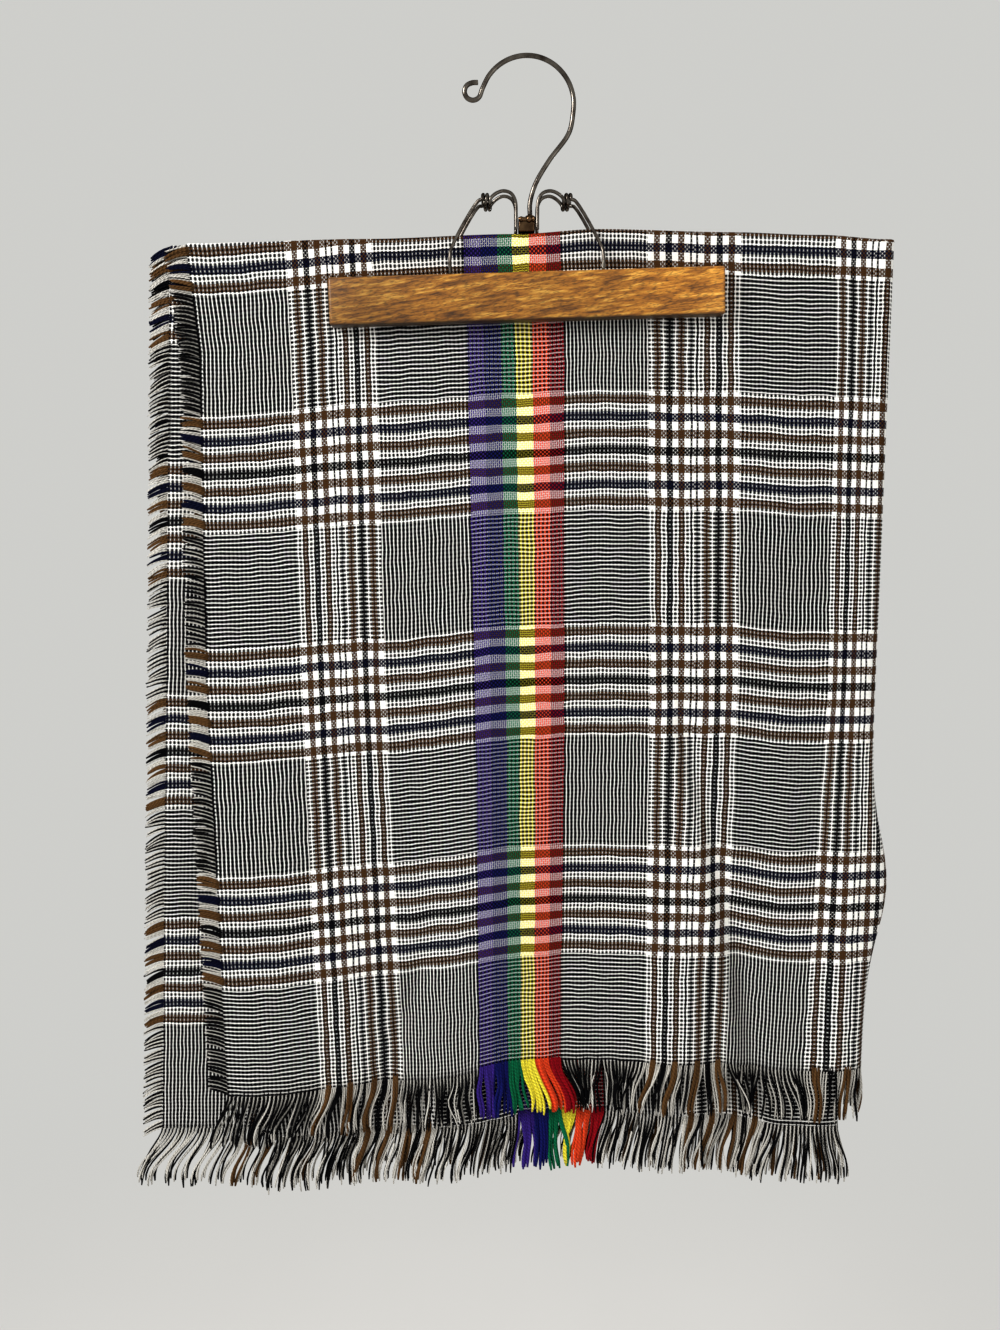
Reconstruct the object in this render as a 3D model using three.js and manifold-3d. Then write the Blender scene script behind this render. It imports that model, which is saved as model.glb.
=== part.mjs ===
// A plaid shawl scarf, folded in four and hung in a wooden clamp hanger.
// Millimetres. X runs to the right, Y to the back, Z up. The origin is the
// inside of the hook's crown, where it rests on a rail.
import * as THREE from 'three';
import { mergeVertices } from 'three/addons/utils/BufferGeometryUtils.js';
import Module from 'manifold-3d';

const wasm = await Module();
wasm.setup();

// ---------------------------------------------------------------- driving sizes

// The cloth is one rectangle. It is folded over the top first, then the right
// half of both legs is folded behind. From front to back the four layers are
// front leg, rear leg, rear leg, front leg.
const WALL = 1.0;             // thickness of one layer
const CUT_WIDTH = 870;        // along the weft, between the two side fringes
const CUT_LENGTH = 1096;      // along the warp, between the two hem fringes
const FRONT_LEG = 526;        // warp length from the front hem to the top fold
const FOLD_WEFT = 428;        // weft length from the left edge to the right fold
const REAR_FOLD_WEFT = 386;   // the same at the rear leg's hem, where it has slid
const REAR_LEG = CUT_LENGTH - FRONT_LEG;
const REAR_TAKE_UP = 0.97;    // width over weft length of the second layer at its hem

// Half distances between the two outer layers and the two inner ones, where the
// clamp presses them and where they hang free.
const OUTER = { pressed: 2.1, free: 9.6 };
const INNER = { pressed: 0.7, free: 3.3 };
const OPENING_RUN = 120;      // distance from the clamp over which they part

// How the cloth hangs: across is 0 at the left edge and 1 at the right fold, and
// the other columns are heights of the top fold and of the two legs' hems.
const HANG = [
  { across: 0.0, top: -108.3, frontHem: -652.6, rearHem: -683 },
  { across: 0.25, top: -105.6, frontHem: -645.5, rearHem: -679 },
  { across: 0.47, top: -103.8, frontHem: -631.0, rearHem: -669 },
  { across: 0.78, top: -102.4, frontHem: -629.6, rearHem: -668 },
  { across: 0.91, top: -103.4, frontHem: -636.6, rearHem: -678 },
  { across: 1.0, top: -106.0, frontHem: -633.8, rearHem: -675 },
];

// Where the front layer's warp lines hang: weft is the distance along the cloth,
// and the other columns are X at the four heights in WARP_HEIGHTS.
const WARP_HEIGHTS = { hem: -629, middle: -383, shoulder: -172, top: -110 };
const WARP_LINES = [
  { line: 'left edge', weft: 0, hem: -196.1, middle: -201.2, shoulder: -198.5, top: -204.5 },
  { line: 'first band starts', weft: 57.5, hem: -134.8, middle: -141.0, shoulder: -144.7, top: -147.0 },
  { line: 'first band ends', weft: 109.6, hem: -80.8, middle: -89.1, shoulder: -92.7, top: -94.9 },
  { line: 'rainbow starts', weft: 165.9, hem: -29.4, middle: -32.1, shoulder: -36.4, top: -38.6 },
  { line: 'rainbow ends', weft: 225.2, hem: 23.9, middle: 24.9, shoulder: 23.5, top: 20.7 },
  { line: 'third band starts', weft: 278.5, hem: 79.3, middle: 78.8, shoulder: 75.5, top: 74.0 },
  { line: 'third band ends', weft: 335.4, hem: 132.0, middle: 134.5, shoulder: 131.8, top: 130.9 },
  { line: 'middle band starts', weft: 392.9, hem: 183.4, middle: 191.5, shoulder: 190.5, top: 188.4 },
];

// X of the two folds and of the rear layers' raw edge, at the top fold and the hem.
const FRONT_FOLD_X = { top: 224.5, hem: 222.5 };
const REAR_FOLD_X = 208;
const BACK_EDGE_X = { top: -219, frontHem: -226, rearHem: -244 };
const FOLD_BULGE = { height: 12.5, z: -512, run: 46 };   // the right fold swells here
const LEG_BOTTOM = -640;      // height where folds and slides reach their full size

// Soft folds that all layers share: ahead is how far they stand to the front at
// the bottom, run is half their width, lean is the shift of X per unit of height,
// and start is the height where they begin.
const SOFT_FOLDS = [
  { x: -168, ahead: 5.0, run: 34, lean: 0.02, start: -190 },
  { x: -84, ahead: -5.5, run: 22, lean: 0.05, start: -330 },
  { x: -36, ahead: 4.5, run: 27, lean: 0.00, start: -210 },
  { x: 40, ahead: -4.0, run: 32, lean: -0.03, start: -240 },
  { x: 104, ahead: 6.0, run: 23, lean: -0.03, start: -300 },
  { x: 152, ahead: -3.5, run: 22, lean: 0.00, start: -220 },
  { x: 201, ahead: 6.0, run: 17, lean: 0.04, start: -380 },
];

// Fringe: the yarns of the cloth's own edges, in locks on a narrow strip.
const SEAM = 0.3;             // gap between the cloth's edge and the strip
const STRIP = 3.0;
const HEM_FRINGE = { front: 35, rear: 40, lean: -0.25, tip: 0.45 };
const SIDE_FRINGE = { reach: 12.5, lean: -0.1, tip: 0.6 };
const LOCKS_PER_CELL = 2;
const LOCK_SHARE = 0.6;       // of each pitch, the rest is the space between locks

// The clamp: two bars, tilted as they hang, pressed on the cloth.
const BAR = { length: 240, height: 28.4, depth: 12, tilt: 1.65, z: -141.3, round: 1.6 };
const BAR_FACE = OUTER.pressed + WALL / 2 + 0.35;   // Y of the face on the cloth

const HOOK = {
  wire: 2.9, radius: 28.4, crownZ: 1.45, curl: 5.0, curlX: -32.6, curlZ: -19.2, stemX: 2.1, stemZ: -91.2,
};
const SPRING = { wire: 2.1, stemX: 6.5, archX: 14, coilX: 22, coilZ: -83, turns: 2, legX: 46.5 };
const BRACKET = { width: 10.2, depth: 11, top: -93.8, bottom: -102.6 };

// ---------------------------------------------------------------- small helpers

const mix = (a, b, f) => a + (b - a) * f;
const clamp01 = (f) => Math.min(1, Math.max(0, f));
const ease = (f) => { const c = clamp01(f); return c * c * (3 - 2 * c); };

// Value of column `key` of a table at `at` of column `by`, eased between rows.
function lookUp(table, by, at, key) {
  const last = table.length - 1;
  let row = 0;
  while (row < last - 1 && table[row + 1][by] < at) row += 1;
  const a = table[row];
  const b = table[row + 1];
  return mix(a[key], b[key], ease((at - a[by]) / (b[by] - a[by])));
}

// Piecewise straight value through knots, straight on past both ends.
function through(knots, values, at) {
  let i = 0;
  while (i < knots.length - 2 && knots[i + 1] < at) i += 1;
  return mix(values[i], values[i + 1], (at - knots[i]) / (knots[i + 1] - knots[i]));
}

// ---------------------------------------------------------------- the folded sheet

// How far the layers have parted at a place: 0 in the clamp, towards 1 away from it.
function openness(x, z) {
  const beside = Math.max(0, Math.abs(x) - BAR.length / 2 - 4);
  const above = Math.max(0, z - (BAR.z + BAR.height / 2 + 4));
  const below = Math.max(0, BAR.z - BAR.height / 2 - 4 - z);
  const away = Math.hypot(beside, above, below);
  return (away * away) / (away * away + OPENING_RUN * OPENING_RUN);
}

// Shift of all layers along Y by the soft folds.
function softFolds(x, z) {
  let y = 0;
  for (const fold of SOFT_FOLDS) {
    const grown = ease((fold.start - z) / (fold.start - LEG_BOTTOM));
    const centre = fold.x + fold.lean * (z - LEG_BOTTOM);
    y -= fold.ahead * grown * Math.exp(-(((x - centre) / fold.run) ** 2));
  }
  return y;
}

// X of the front fold's outline at height z.
function frontFoldX(z) {
  const foldTop = HANG[HANG.length - 1].top;
  const down = clamp01((z - foldTop) / (LEG_BOTTOM - foldTop));
  const bulge = FOLD_BULGE.height * Math.exp(-(((z - FOLD_BULGE.z) / FOLD_BULGE.run) ** 2));
  return mix(FRONT_FOLD_X.top, FRONT_FOLD_X.hem, down) + bulge;
}

// X of the front layer's cloth at a weft length, with the fold's start as last knot.
function frontLayerX(weft, z, foldWeft, foldX) {
  const heights = Object.values(WARP_HEIGHTS);
  const columns = Object.keys(WARP_HEIGHTS);
  const height = Math.min(z, WARP_HEIGHTS.top);
  const lineX = (line) => through(heights, columns.map((column) => line[column]), height);
  const knots = [...WARP_LINES.map((line) => line.weft), foldWeft];
  return through(knots, [...WARP_LINES.map(lineX), foldX], weft);
}

// The sheet's middle surface. u runs across it: 0 to 1 is the front side from the
// raw edge to the right fold, 1 to 2 the fold, 2 to 3 the back side to the other
// raw edge. v runs along it: 0 to 1 up the front leg, 1 to 2 over the top fold,
// 2 to 3 down the rear leg. Both may run a little past 0 and 3, beyond the edges.
function sheet(u, v) {
  const across = clamp01(u <= 1 ? u : 3 - u);
  const top = lookUp(HANG, 'across', across, 'top');
  const rear = v > 1.5;
  const down = v <= 1 ? 1 - v : Math.max(0, v - 2);
  const slid = rear ? down : 0;

  const rawEdgeX = u <= 1 ? WARP_LINES[0].top : BACK_EDGE_X.top;
  const topOpen = openness(mix(rawEdgeX, FRONT_FOLD_X.top, across), top);
  const outerTop = mix(OUTER.pressed, OUTER.free, topOpen);
  const innerTop = mix(INNER.pressed, INNER.free, topOpen);
  const bend = (outerTop - innerTop) / 2;
  const turn = Math.PI * clamp01(v - 1);
  const axis = top - WALL / 2 - bend;
  const hem = lookUp(HANG, 'across', across, rear ? 'rearHem' : 'frontHem');
  const z = v > 1 && v < 2 ? axis + bend * Math.sin(turn) : mix(axis, hem, down);

  // half distance between this layer and its twin behind, at a place
  const spread = (x) => {
    const open = openness(x, z);
    const outer = mix(OUTER.pressed, OUTER.free, open);
    const inner = mix(INNER.pressed, INNER.free, open);
    return (outer + inner) / 2 + ((outer - inner) / 2) * Math.cos(turn);
  };

  const outlineX = rear ? mix(frontFoldX(top), REAR_FOLD_X, slid) : frontFoldX(z);
  const foldSpread = spread(outlineX);
  const foldX = outlineX - foldSpread;
  const halfTurn = (Math.PI * foldSpread) / 2;
  if (u >= 1 && u <= 2) {
    const angle = Math.PI * (u - 1.5);
    return new THREE.Vector3(
      foldX + foldSpread * Math.cos(angle),
      foldSpread * Math.sin(angle) + softFolds(foldX, z),
      z,
    );
  }
  let x;
  if (u < 1) {
    const weft = u * (FOLD_WEFT - halfTurn);
    const topFoldX = rear ? frontFoldX(top) - foldSpread : foldX;
    const topX = frontLayerX(weft, rear ? top : z, FOLD_WEFT - halfTurn, topFoldX);
    const hemX = REAR_FOLD_X - foldSpread - (1 - u) * (REAR_FOLD_WEFT - halfTurn) * REAR_TAKE_UP;
    x = mix(topX, hemX, slid);
  } else {
    const edgeX = mix(BACK_EDGE_X.top, rear ? BACK_EDGE_X.rearHem : BACK_EDGE_X.frontHem, down);
    x = mix(foldX, edgeX, u - 2);
  }
  const side = u < 1 ? -1 : 1;
  return new THREE.Vector3(x, side * spread(x) + softFolds(x, z), z);
}

// Unit normal of the sheet, from short steps along it.
function sheetNormal(u, v) {
  const step = 0.002;
  const along = sheet(u, v + step).sub(sheet(u, v - step));
  const across = sheet(u + step, v).sub(sheet(u - step, v));
  return across.cross(along).normalize();
}

// A point of the sheet, moved `out` along its normal.
const skin = (u, v, out) => sheet(u, v).addScaledVector(sheetNormal(u, v), out);

// Even steps from one value to another.
const steps = (from, to, count) => Array.from({ length: count }, (_, i) => mix(from, to, i / count));

// ---------------------------------------------------------------- mesh builders

function solidFrom(points, faces) {
  const geometry = new THREE.BufferGeometry();
  const numbers = points.flatMap((p) => [p.x, p.y, p.z]);
  geometry.setAttribute('position', new THREE.Float32BufferAttribute(numbers, 3));
  geometry.setIndex(faces);
  geometry.computeVertexNormals();
  return geometry;
}

function quad(faces, a, b, c, d) {
  faces.push(a, b, c, a, c, d);
}

// A wall of WALL thickness over the grid of us and vs, closed round its four edges.
function wallOver(us, vs) {
  const points = [];
  const faces = [];
  const index = (i, j, k) => (i * vs.length + j) * 2 + k;
  for (const u of us) {
    for (const v of vs) points.push(skin(u, v, WALL / 2), skin(u, v, -WALL / 2));
  }
  const lastU = us.length - 1;
  const lastV = vs.length - 1;
  for (let i = 0; i < lastU; i += 1) {
    for (let j = 0; j < lastV; j += 1) {
      quad(faces, index(i, j, 0), index(i + 1, j, 0), index(i + 1, j + 1, 0), index(i, j + 1, 0));
      quad(faces, index(i, j, 1), index(i, j + 1, 1), index(i + 1, j + 1, 1), index(i + 1, j, 1));
    }
    quad(faces, index(i, 0, 0), index(i, 0, 1), index(i + 1, 0, 1), index(i + 1, 0, 0));
    quad(faces, index(i, lastV, 0), index(i + 1, lastV, 0), index(i + 1, lastV, 1), index(i, lastV, 1));
  }
  for (let j = 0; j < lastV; j += 1) {
    quad(faces, index(0, j, 0), index(0, j + 1, 0), index(0, j + 1, 1), index(0, j, 1));
    quad(faces, index(lastU, j, 0), index(lastU, j, 1), index(lastU, j + 1, 1), index(lastU, j + 1, 0));
  }
  return solidFrom(points, faces);
}

// A fringe: a strip beyond the cloth's edge with a lock in every other cell.
// `edge(p, d, out)` is the point at place p along the edge, d beyond it, and
// `stations` holds the places, each with lock: true where a lock starts there.
function fringe(edge, stations, reach, lean, tip) {
  const points = [];
  const faces = [];
  for (const { at } of stations) {
    points.push(edge(at, SEAM, WALL / 2), edge(at, SEAM + STRIP, WALL / 2));
    points.push(edge(at, SEAM + STRIP, -WALL / 2), edge(at, SEAM, -WALL / 2));
  }
  const last = stations.length - 1;
  for (let i = 0; i < last; i += 1) {
    const [a, b, c, d] = [0, 1, 2, 3].map((k) => i * 4 + k);
    const [e, f, g, h] = [4, 5, 6, 7].map((k) => i * 4 + k);
    quad(faces, a, b, f, e);
    quad(faces, d, h, g, c);
    quad(faces, a, e, h, d);
    if (!stations[i].lock) {
      quad(faces, b, c, g, f);
      continue;
    }
    const width = stations[i + 1].at - stations[i].at;
    const middle = stations[i].at + width * (0.5 + stations[i].shift * lean);
    const half = (width / 2) * tip;
    const long = reach * stations[i].share;
    const first = points.length;
    points.push(edge(middle - half, long, WALL / 3), edge(middle + half, long, WALL / 3));
    points.push(edge(middle + half, long, -WALL / 3), edge(middle - half, long, -WALL / 3));
    quad(faces, b, first, first + 1, f);
    quad(faces, c, g, first + 2, first + 3);
    quad(faces, b, c, first + 3, first);
    quad(faces, f, first + 1, first + 2, g);
    quad(faces, first, first + 3, first + 2, first + 1);
  }
  quad(faces, 0, 3, 2, 1);
  const end = last * 4;
  quad(faces, end, end + 1, end + 2, end + 3);
  return solidFrom(points, faces);
}

// Stations for LOCKS_PER_CELL locks in each cell of the cloth's grid, or none where
// the cell is in a fold. Their length and lean vary a little from lock to lock, by
// two waves that never fall in step.
function lockStations(grid, inFold) {
  const stations = [];
  let lock = 0;
  for (let i = 0; i < grid.length - 1; i += 1) {
    const bent = grid[i] >= 1 && grid[i] < 2;
    const count = bent ? inFold : LOCKS_PER_CELL;
    if (count === 0) stations.push({ at: grid[i], lock: false });
    for (let k = 0; k < count; k += 1) {
      const share = 0.94 + 0.06 * Math.sin(lock * 2.4);
      const shift = 0.8 + 0.5 * Math.sin(lock * 1.7);
      stations.push({ at: mix(grid[i], grid[i + 1], k / count), lock: true, share, shift });
      stations.push({ at: mix(grid[i], grid[i + 1], (k + LOCK_SHARE) / count), lock: false });
      lock += 1;
    }
  }
  stations.push({ at: grid[grid.length - 1], lock: false });
  return stations;
}

// The point for place p of an edge whose cloth has straight facets between the
// places in `grid`, so that a strip runs along them at an even distance.
function onFacets(grid, p, pointAt) {
  let i = 0;
  while (i < grid.length - 2 && grid[i + 1] < p) i += 1;
  return pointAt(grid[i]).lerp(pointAt(grid[i + 1]), (p - grid[i]) / (grid[i + 1] - grid[i]));
}

// Turns the closed geometry inside out when its faces point inwards.
function outward(geometry) {
  const p = geometry.getAttribute('position');
  const index = geometry.getIndex();
  const [a, b, c] = [new THREE.Vector3(), new THREE.Vector3(), new THREE.Vector3()];
  let volume = 0;
  for (let i = 0; i < index.count; i += 3) {
    a.fromBufferAttribute(p, index.getX(i));
    b.fromBufferAttribute(p, index.getX(i + 1));
    c.fromBufferAttribute(p, index.getX(i + 2));
    volume += a.dot(b.cross(c));
  }
  if (volume < 0) index.array.reverse();
  return geometry;
}

// A round wire of the given diameter along points.
function wire(points, diameter, sides, count) {
  const section = new THREE.Shape();
  for (let i = 0; i < sides; i += 1) {
    const angle = (2 * Math.PI * i) / sides;
    const [x, y] = [(Math.cos(angle) * diameter) / 2, (Math.sin(angle) * diameter) / 2];
    if (i === 0) section.moveTo(x, y);
    else section.lineTo(x, y);
  }
  section.closePath();
  const path = new THREE.CatmullRomCurve3(points, false, 'centripetal');
  return new THREE.ExtrudeGeometry(section, { steps: count, extrudePath: path, bevelEnabled: false });
}

// The geometry as a solid that can be joined, and a joined solid as a geometry.
function toSolid(geometry) {
  const bare = geometry.clone();
  bare.deleteAttribute('normal');
  bare.deleteAttribute('uv');
  const merged = mergeVertices(bare, 1e-4);
  return new wasm.Manifold(new wasm.Mesh({
    numProp: 3,
    vertProperties: new Float32Array(merged.getAttribute('position').array),
    triVerts: new Uint32Array(merged.getIndex().array),
  }));
}

function toGeometry(solid) {
  const mesh = solid.getMesh();
  const geometry = new THREE.BufferGeometry();
  geometry.setAttribute('position', new THREE.BufferAttribute(mesh.vertProperties, 3));
  geometry.setIndex(new THREE.BufferAttribute(mesh.triVerts, 1));
  geometry.computeVertexNormals();
  return geometry;
}

// ---------------------------------------------------------------- the cloth

const MATERIALS = {
  cloth: new THREE.MeshStandardMaterial({ color: 0x8d8d92, roughness: 0.95, metalness: 0 }),
  fringe: new THREE.MeshStandardMaterial({ color: 0x6d6a68, roughness: 0.95, metalness: 0 }),
  wood: new THREE.MeshStandardMaterial({ color: 0xa5692c, roughness: 0.4, metalness: 0 }),
  steel: new THREE.MeshStandardMaterial({ color: 0xb9b6b0, roughness: 0.25, metalness: 1 }),
};

const shawl = new THREE.Group();

function place(name, geometry, material) {
  const mesh = new THREE.Mesh(geometry, material);
  mesh.name = name;
  shawl.add(mesh);
  return mesh;
}

const FOLD_CELLS = 4;
const acrossCloth = [...steps(0, 1, 16), ...steps(1, 2, FOLD_CELLS), ...steps(2, 3, 14), 3];
const alongCloth = [...steps(0, 1, 12), ...steps(1, 2, FOLD_CELLS), ...steps(2, 3, 12), 3];
place('shawl_cloth', outward(wallOver(acrossCloth, alongCloth)), MATERIALS.cloth);

// ---------------------------------------------------------------- the fringes

const hemStations = lockStations(acrossCloth, 0);
place('front_hem_fringe', outward(fringe(
  (p, d, out) => onFacets(acrossCloth, p, (u) => skin(u, -d / FRONT_LEG, out)),
  hemStations, HEM_FRINGE.front, HEM_FRINGE.lean, HEM_FRINGE.tip,
)), MATERIALS.fringe);
place('rear_hem_fringe', outward(fringe(
  (p, d, out) => onFacets(acrossCloth, p, (u) => skin(u, 3 + d / REAR_LEG, out)),
  hemStations, HEM_FRINGE.rear, HEM_FRINGE.lean, HEM_FRINGE.tip,
)), MATERIALS.fringe);

const sideStations = lockStations(alongCloth, 0);
place('front_side_fringe', outward(fringe(
  (p, d, out) => onFacets(alongCloth, p, (v) => skin(-d / FOLD_WEFT, v, out)),
  sideStations, SIDE_FRINGE.reach, SIDE_FRINGE.lean, SIDE_FRINGE.tip,
)), MATERIALS.fringe);
place('back_side_fringe', outward(fringe(
  (p, d, out) => onFacets(alongCloth, p, (v) => skin(3 + d / (CUT_WIDTH - FOLD_WEFT), v, out)),
  sideStations, SIDE_FRINGE.reach, SIDE_FRINGE.lean, SIDE_FRINGE.tip,
)), MATERIALS.fringe);

// ---------------------------------------------------------------- the hanger

// A bar with its long edges and ends slightly rounded, tilted in its plane.
function bar(side) {
  const half = { x: BAR.length / 2 - BAR.round, z: BAR.height / 2 - BAR.round };
  const outline = new THREE.Shape([
    new THREE.Vector2(-half.x, -half.z),
    new THREE.Vector2(half.x, -half.z),
    new THREE.Vector2(half.x, half.z),
    new THREE.Vector2(-half.x, half.z),
  ]);
  const geometry = new THREE.ExtrudeGeometry(outline, {
    depth: BAR.depth - 2 * BAR.round,
    bevelThickness: BAR.round,
    bevelSize: BAR.round,
    bevelSegments: 3,
  });
  geometry.translate(0, 0, -(BAR.depth / 2 - BAR.round));
  geometry.rotateX(Math.PI / 2);
  const mesh = place(side < 0 ? 'front_bar' : 'rear_bar', geometry, MATERIALS.wood);
  mesh.position.set(0, side * (BAR_FACE + BAR.depth / 2), BAR.z);
  mesh.rotation.y = -THREE.MathUtils.degToRad(BAR.tilt);
}
bar(-1);
bar(1);

// Height of the bars' top edge at x.
const barTop = (x) => BAR.z + BAR.height / 2 + x * Math.tan(THREE.MathUtils.degToRad(BAR.tilt));

// Points of an arc in the XZ plane, from one angle to another in degrees.
function arcPoints(x, z, radius, from, to, count) {
  return Array.from({ length: count + 1 }, (_, i) => {
    const angle = THREE.MathUtils.degToRad(mix(from, to, i / count));
    return new THREE.Vector3(x + radius * Math.cos(angle), 0, z + radius * Math.sin(angle));
  });
}

// The hook: a curl, a round crown over the origin, and a swept stem.
function hook() {
  const points = [
    ...arcPoints(HOOK.curlX, HOOK.curlZ, HOOK.curl, 95, 315, 5),
    ...arcPoints(0, HOOK.crownZ - HOOK.radius, HOOK.radius, 160, -10, 10),
  ];
  points.push(
    new THREE.Vector3(25.5, 0, -43.2),
    new THREE.Vector3(13.5, 0, -59.3),
    new THREE.Vector3(5.3, 0, -73.0),
    new THREE.Vector3(HOOK.stemX, 0, -84),
    new THREE.Vector3(HOOK.stemX, 0, HOOK.stemZ),
  );
  place('hook', wire(points, HOOK.wire, 8, 44), MATERIALS.steel);
}
hook();

// A spring wire: up from the bracket, over an arch, two turns of a coil whose axis
// runs along X, and down a straight leg to the top of its bar.
function springWire(name, right, face) {
  const y = { arch: 6.0, coil: 3.7, leg: BAR_FACE + BAR.depth / 2 };
  const coilRadius = y.arch - y.coil;
  const pitch = SPRING.wire + 0.35;
  const at = (x, depth, z) => new THREE.Vector3(right * x, face * depth, z);
  const points = [
    at(SPRING.stemX, y.arch, BRACKET.bottom + 0.8),
    at(SPRING.stemX, y.arch, -92),
    at(SPRING.stemX + 0.5, y.arch, -84),
    at(9.5, y.arch, -79.8),
    at(SPRING.archX, y.arch, -78.4),
    at(18.5, y.arch, -80.4),
  ];
  const perTurn = 8;
  for (let i = 0; i <= SPRING.turns * perTurn; i += 1) {
    const angle = (2 * Math.PI * i) / perTurn;
    const x = SPRING.coilX + (pitch * i) / perTurn;
    points.push(at(x, y.coil + coilRadius * Math.cos(angle), SPRING.coilZ - coilRadius * Math.sin(angle)));
  }
  const legTop = barTop(right * SPRING.legX) + 0.35;
  points.push(
    at(29.5, y.arch + 0.6, -84.5),
    at(45.2, 8.0, -111),
    at(SPRING.legX, y.leg, -116),
    at(SPRING.legX, y.leg, legTop),
  );
  place(name, wire(points, SPRING.wire, 6, 44), MATERIALS.steel);
}
springWire('front_left_spring', -1, -1);
springWire('front_right_spring', 1, -1);
springWire('rear_left_spring', -1, 1);
springWire('rear_right_spring', 1, 1);

// The bracket: a bent saddle between the wires, with a cross pin and two beads.
function bracket() {
  const height = BRACKET.top - BRACKET.bottom;
  const saddle = new THREE.BoxGeometry(BRACKET.width, BRACKET.depth, height);
  saddle.translate(0, 0, (BRACKET.top + BRACKET.bottom) / 2);
  const pin = new THREE.CylinderGeometry(1.3, 1.3, BRACKET.width, 8);
  pin.rotateZ(Math.PI / 2);
  pin.translate(0, -BRACKET.depth / 2, BRACKET.top - 1.5);
  let joined = toSolid(saddle).add(toSolid(pin));
  const collar = new THREE.CylinderGeometry(2.6, 3.2, 2.6, 12);
  collar.rotateX(Math.PI / 2);
  collar.translate(HOOK.stemX, 0, HOOK.stemZ - 0.3 - 1.3);
  joined = joined.add(toSolid(collar));
  for (const x of [-3.0, 3.0]) {
    const bead = new THREE.SphereGeometry(2.1, 8, 6);
    bead.translate(x, -BRACKET.depth / 2, BRACKET.top - 1.5);
    joined = joined.add(toSolid(bead));
  }
  place('bracket', toGeometry(joined), MATERIALS.steel);
}
bracket();

export default shawl;
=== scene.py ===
"""A fringed plaid shawl scarf, folded in four and hung in a wooden clamp hanger.

Tables and sizes are in millimetres, and meshes are made in metres. X runs to the
right, Y to the back and Z up. The origin is the inside of the hook's crown.
"""
import math

import bpy
import numpy as np
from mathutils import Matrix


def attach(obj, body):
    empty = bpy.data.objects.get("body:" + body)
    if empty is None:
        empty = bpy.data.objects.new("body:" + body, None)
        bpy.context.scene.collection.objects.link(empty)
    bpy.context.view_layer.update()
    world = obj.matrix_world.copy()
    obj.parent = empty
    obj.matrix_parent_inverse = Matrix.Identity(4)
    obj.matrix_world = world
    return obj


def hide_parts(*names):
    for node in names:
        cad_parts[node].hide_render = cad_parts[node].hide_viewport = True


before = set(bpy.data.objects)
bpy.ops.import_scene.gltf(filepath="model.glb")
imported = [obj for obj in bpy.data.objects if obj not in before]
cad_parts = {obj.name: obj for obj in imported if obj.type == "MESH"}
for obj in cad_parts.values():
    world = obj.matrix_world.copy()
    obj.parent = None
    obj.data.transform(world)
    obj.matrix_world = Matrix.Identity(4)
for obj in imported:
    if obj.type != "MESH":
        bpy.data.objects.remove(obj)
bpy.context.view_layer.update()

# ------------------------------------------------------------ the folded cloth
# One rectangle of light acrylic cloth. It goes over the top fold first, then the
# right half of both legs is folded behind, so four layers hang in the clamp:
# front leg, rear leg, rear leg, front leg.
MM = 0.001                # in metres
WALL = 1.0                # thickness of one layer
CUT_WIDTH = 870.0         # along the weft, between the side fringes
CUT_LENGTH = 1096.0       # along the warp, between the hem fringes
FRONT_LEG = 526.0         # warp length from the front hem to the top fold
REAR_LEG = CUT_LENGTH - FRONT_LEG
FOLD_WEFT = 428.0         # weft length from the left edge to the right fold
REAR_FOLD_WEFT = 386.0    # the same at the rear leg's hem, which has slid
REAR_TAKE_UP = 0.97       # width over weft length of the rear leg at its hem
# Distance of the outer and inner layers from the middle, in the clamp and free.
OUTER_PRESSED, OUTER_FREE = 2.1, 9.6
INNER_PRESSED, INNER_FREE = 0.7, 3.3
OPENING_RUN = 120.0       # distance from the clamp over which they part

# across: 0 at the left edge, 1 at the right fold. The rest are heights.
HANG = {
    "across": np.array([0.0, 0.25, 0.47, 0.59, 0.78, 0.91, 1.0]),
    "top": np.array([-108.3, -105.4, -102.5, -99.6, -101.4, -103.2, -106.0]),
    "front_hem": np.array([-652.6, -645.5, -631.0, -630.5, -629.6, -636.6, -633.8]),
    "rear_hem": np.array([-683.0, -679.0, -669.0, -668.6, -668.0, -678.0, -675.0]),
}
# X of the front layer's warp lines at four heights, and their place on the weft.
WARP_HEIGHTS = np.array([-629.0, -383.0, -172.0, -110.0])
WARP_LINES = np.array([
    # weft    hem     middle  shoulder top
    [0.0, -196.1, -202.2, -201.5, -207.5],
    [57.5, -134.8, -141.0, -144.7, -147.0],
    [109.6, -80.8, -89.1, -92.7, -94.9],
    [165.9, -29.4, -32.1, -36.4, -38.6],
    [225.2, 23.9, 24.9, 23.5, 20.7],
    [278.5, 79.3, 78.8, 75.5, 74.0],
    [335.4, 132.0, 134.5, 131.8, 130.9],
    [392.9, 183.4, 191.5, 190.5, 188.4],
])
# X of the right folds and of the raw edge behind, and how the front fold swells.
FRONT_FOLD_X = {"top": 224.5, "hem": 222.5}
REAR_FOLD_X = 208.0
BACK_EDGE_X = {"top": -219.0, "front_hem": -226.0, "rear_hem": -244.0}
FOLD_BULGE = {"height": 12.5, "z": -512.0, "run": 46.0}
LEG_BOTTOM = -640.0       # height where folds and slides reach their full size

# The clamp's bars, which press the cloth flat between them.
BAR = {"length": 240.0, "height": 28.4, "depth": 12.0, "tilt": 1.65, "z": -141.3, "round": 1.8}
BAR_GAP = 0.35            # between a bar and what touches it
BAR_FACE = OUTER_PRESSED + WALL / 2 + BAR_GAP
PRESSED_MARGIN = 4.0      # the cloth is flat this far round the bars

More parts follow.
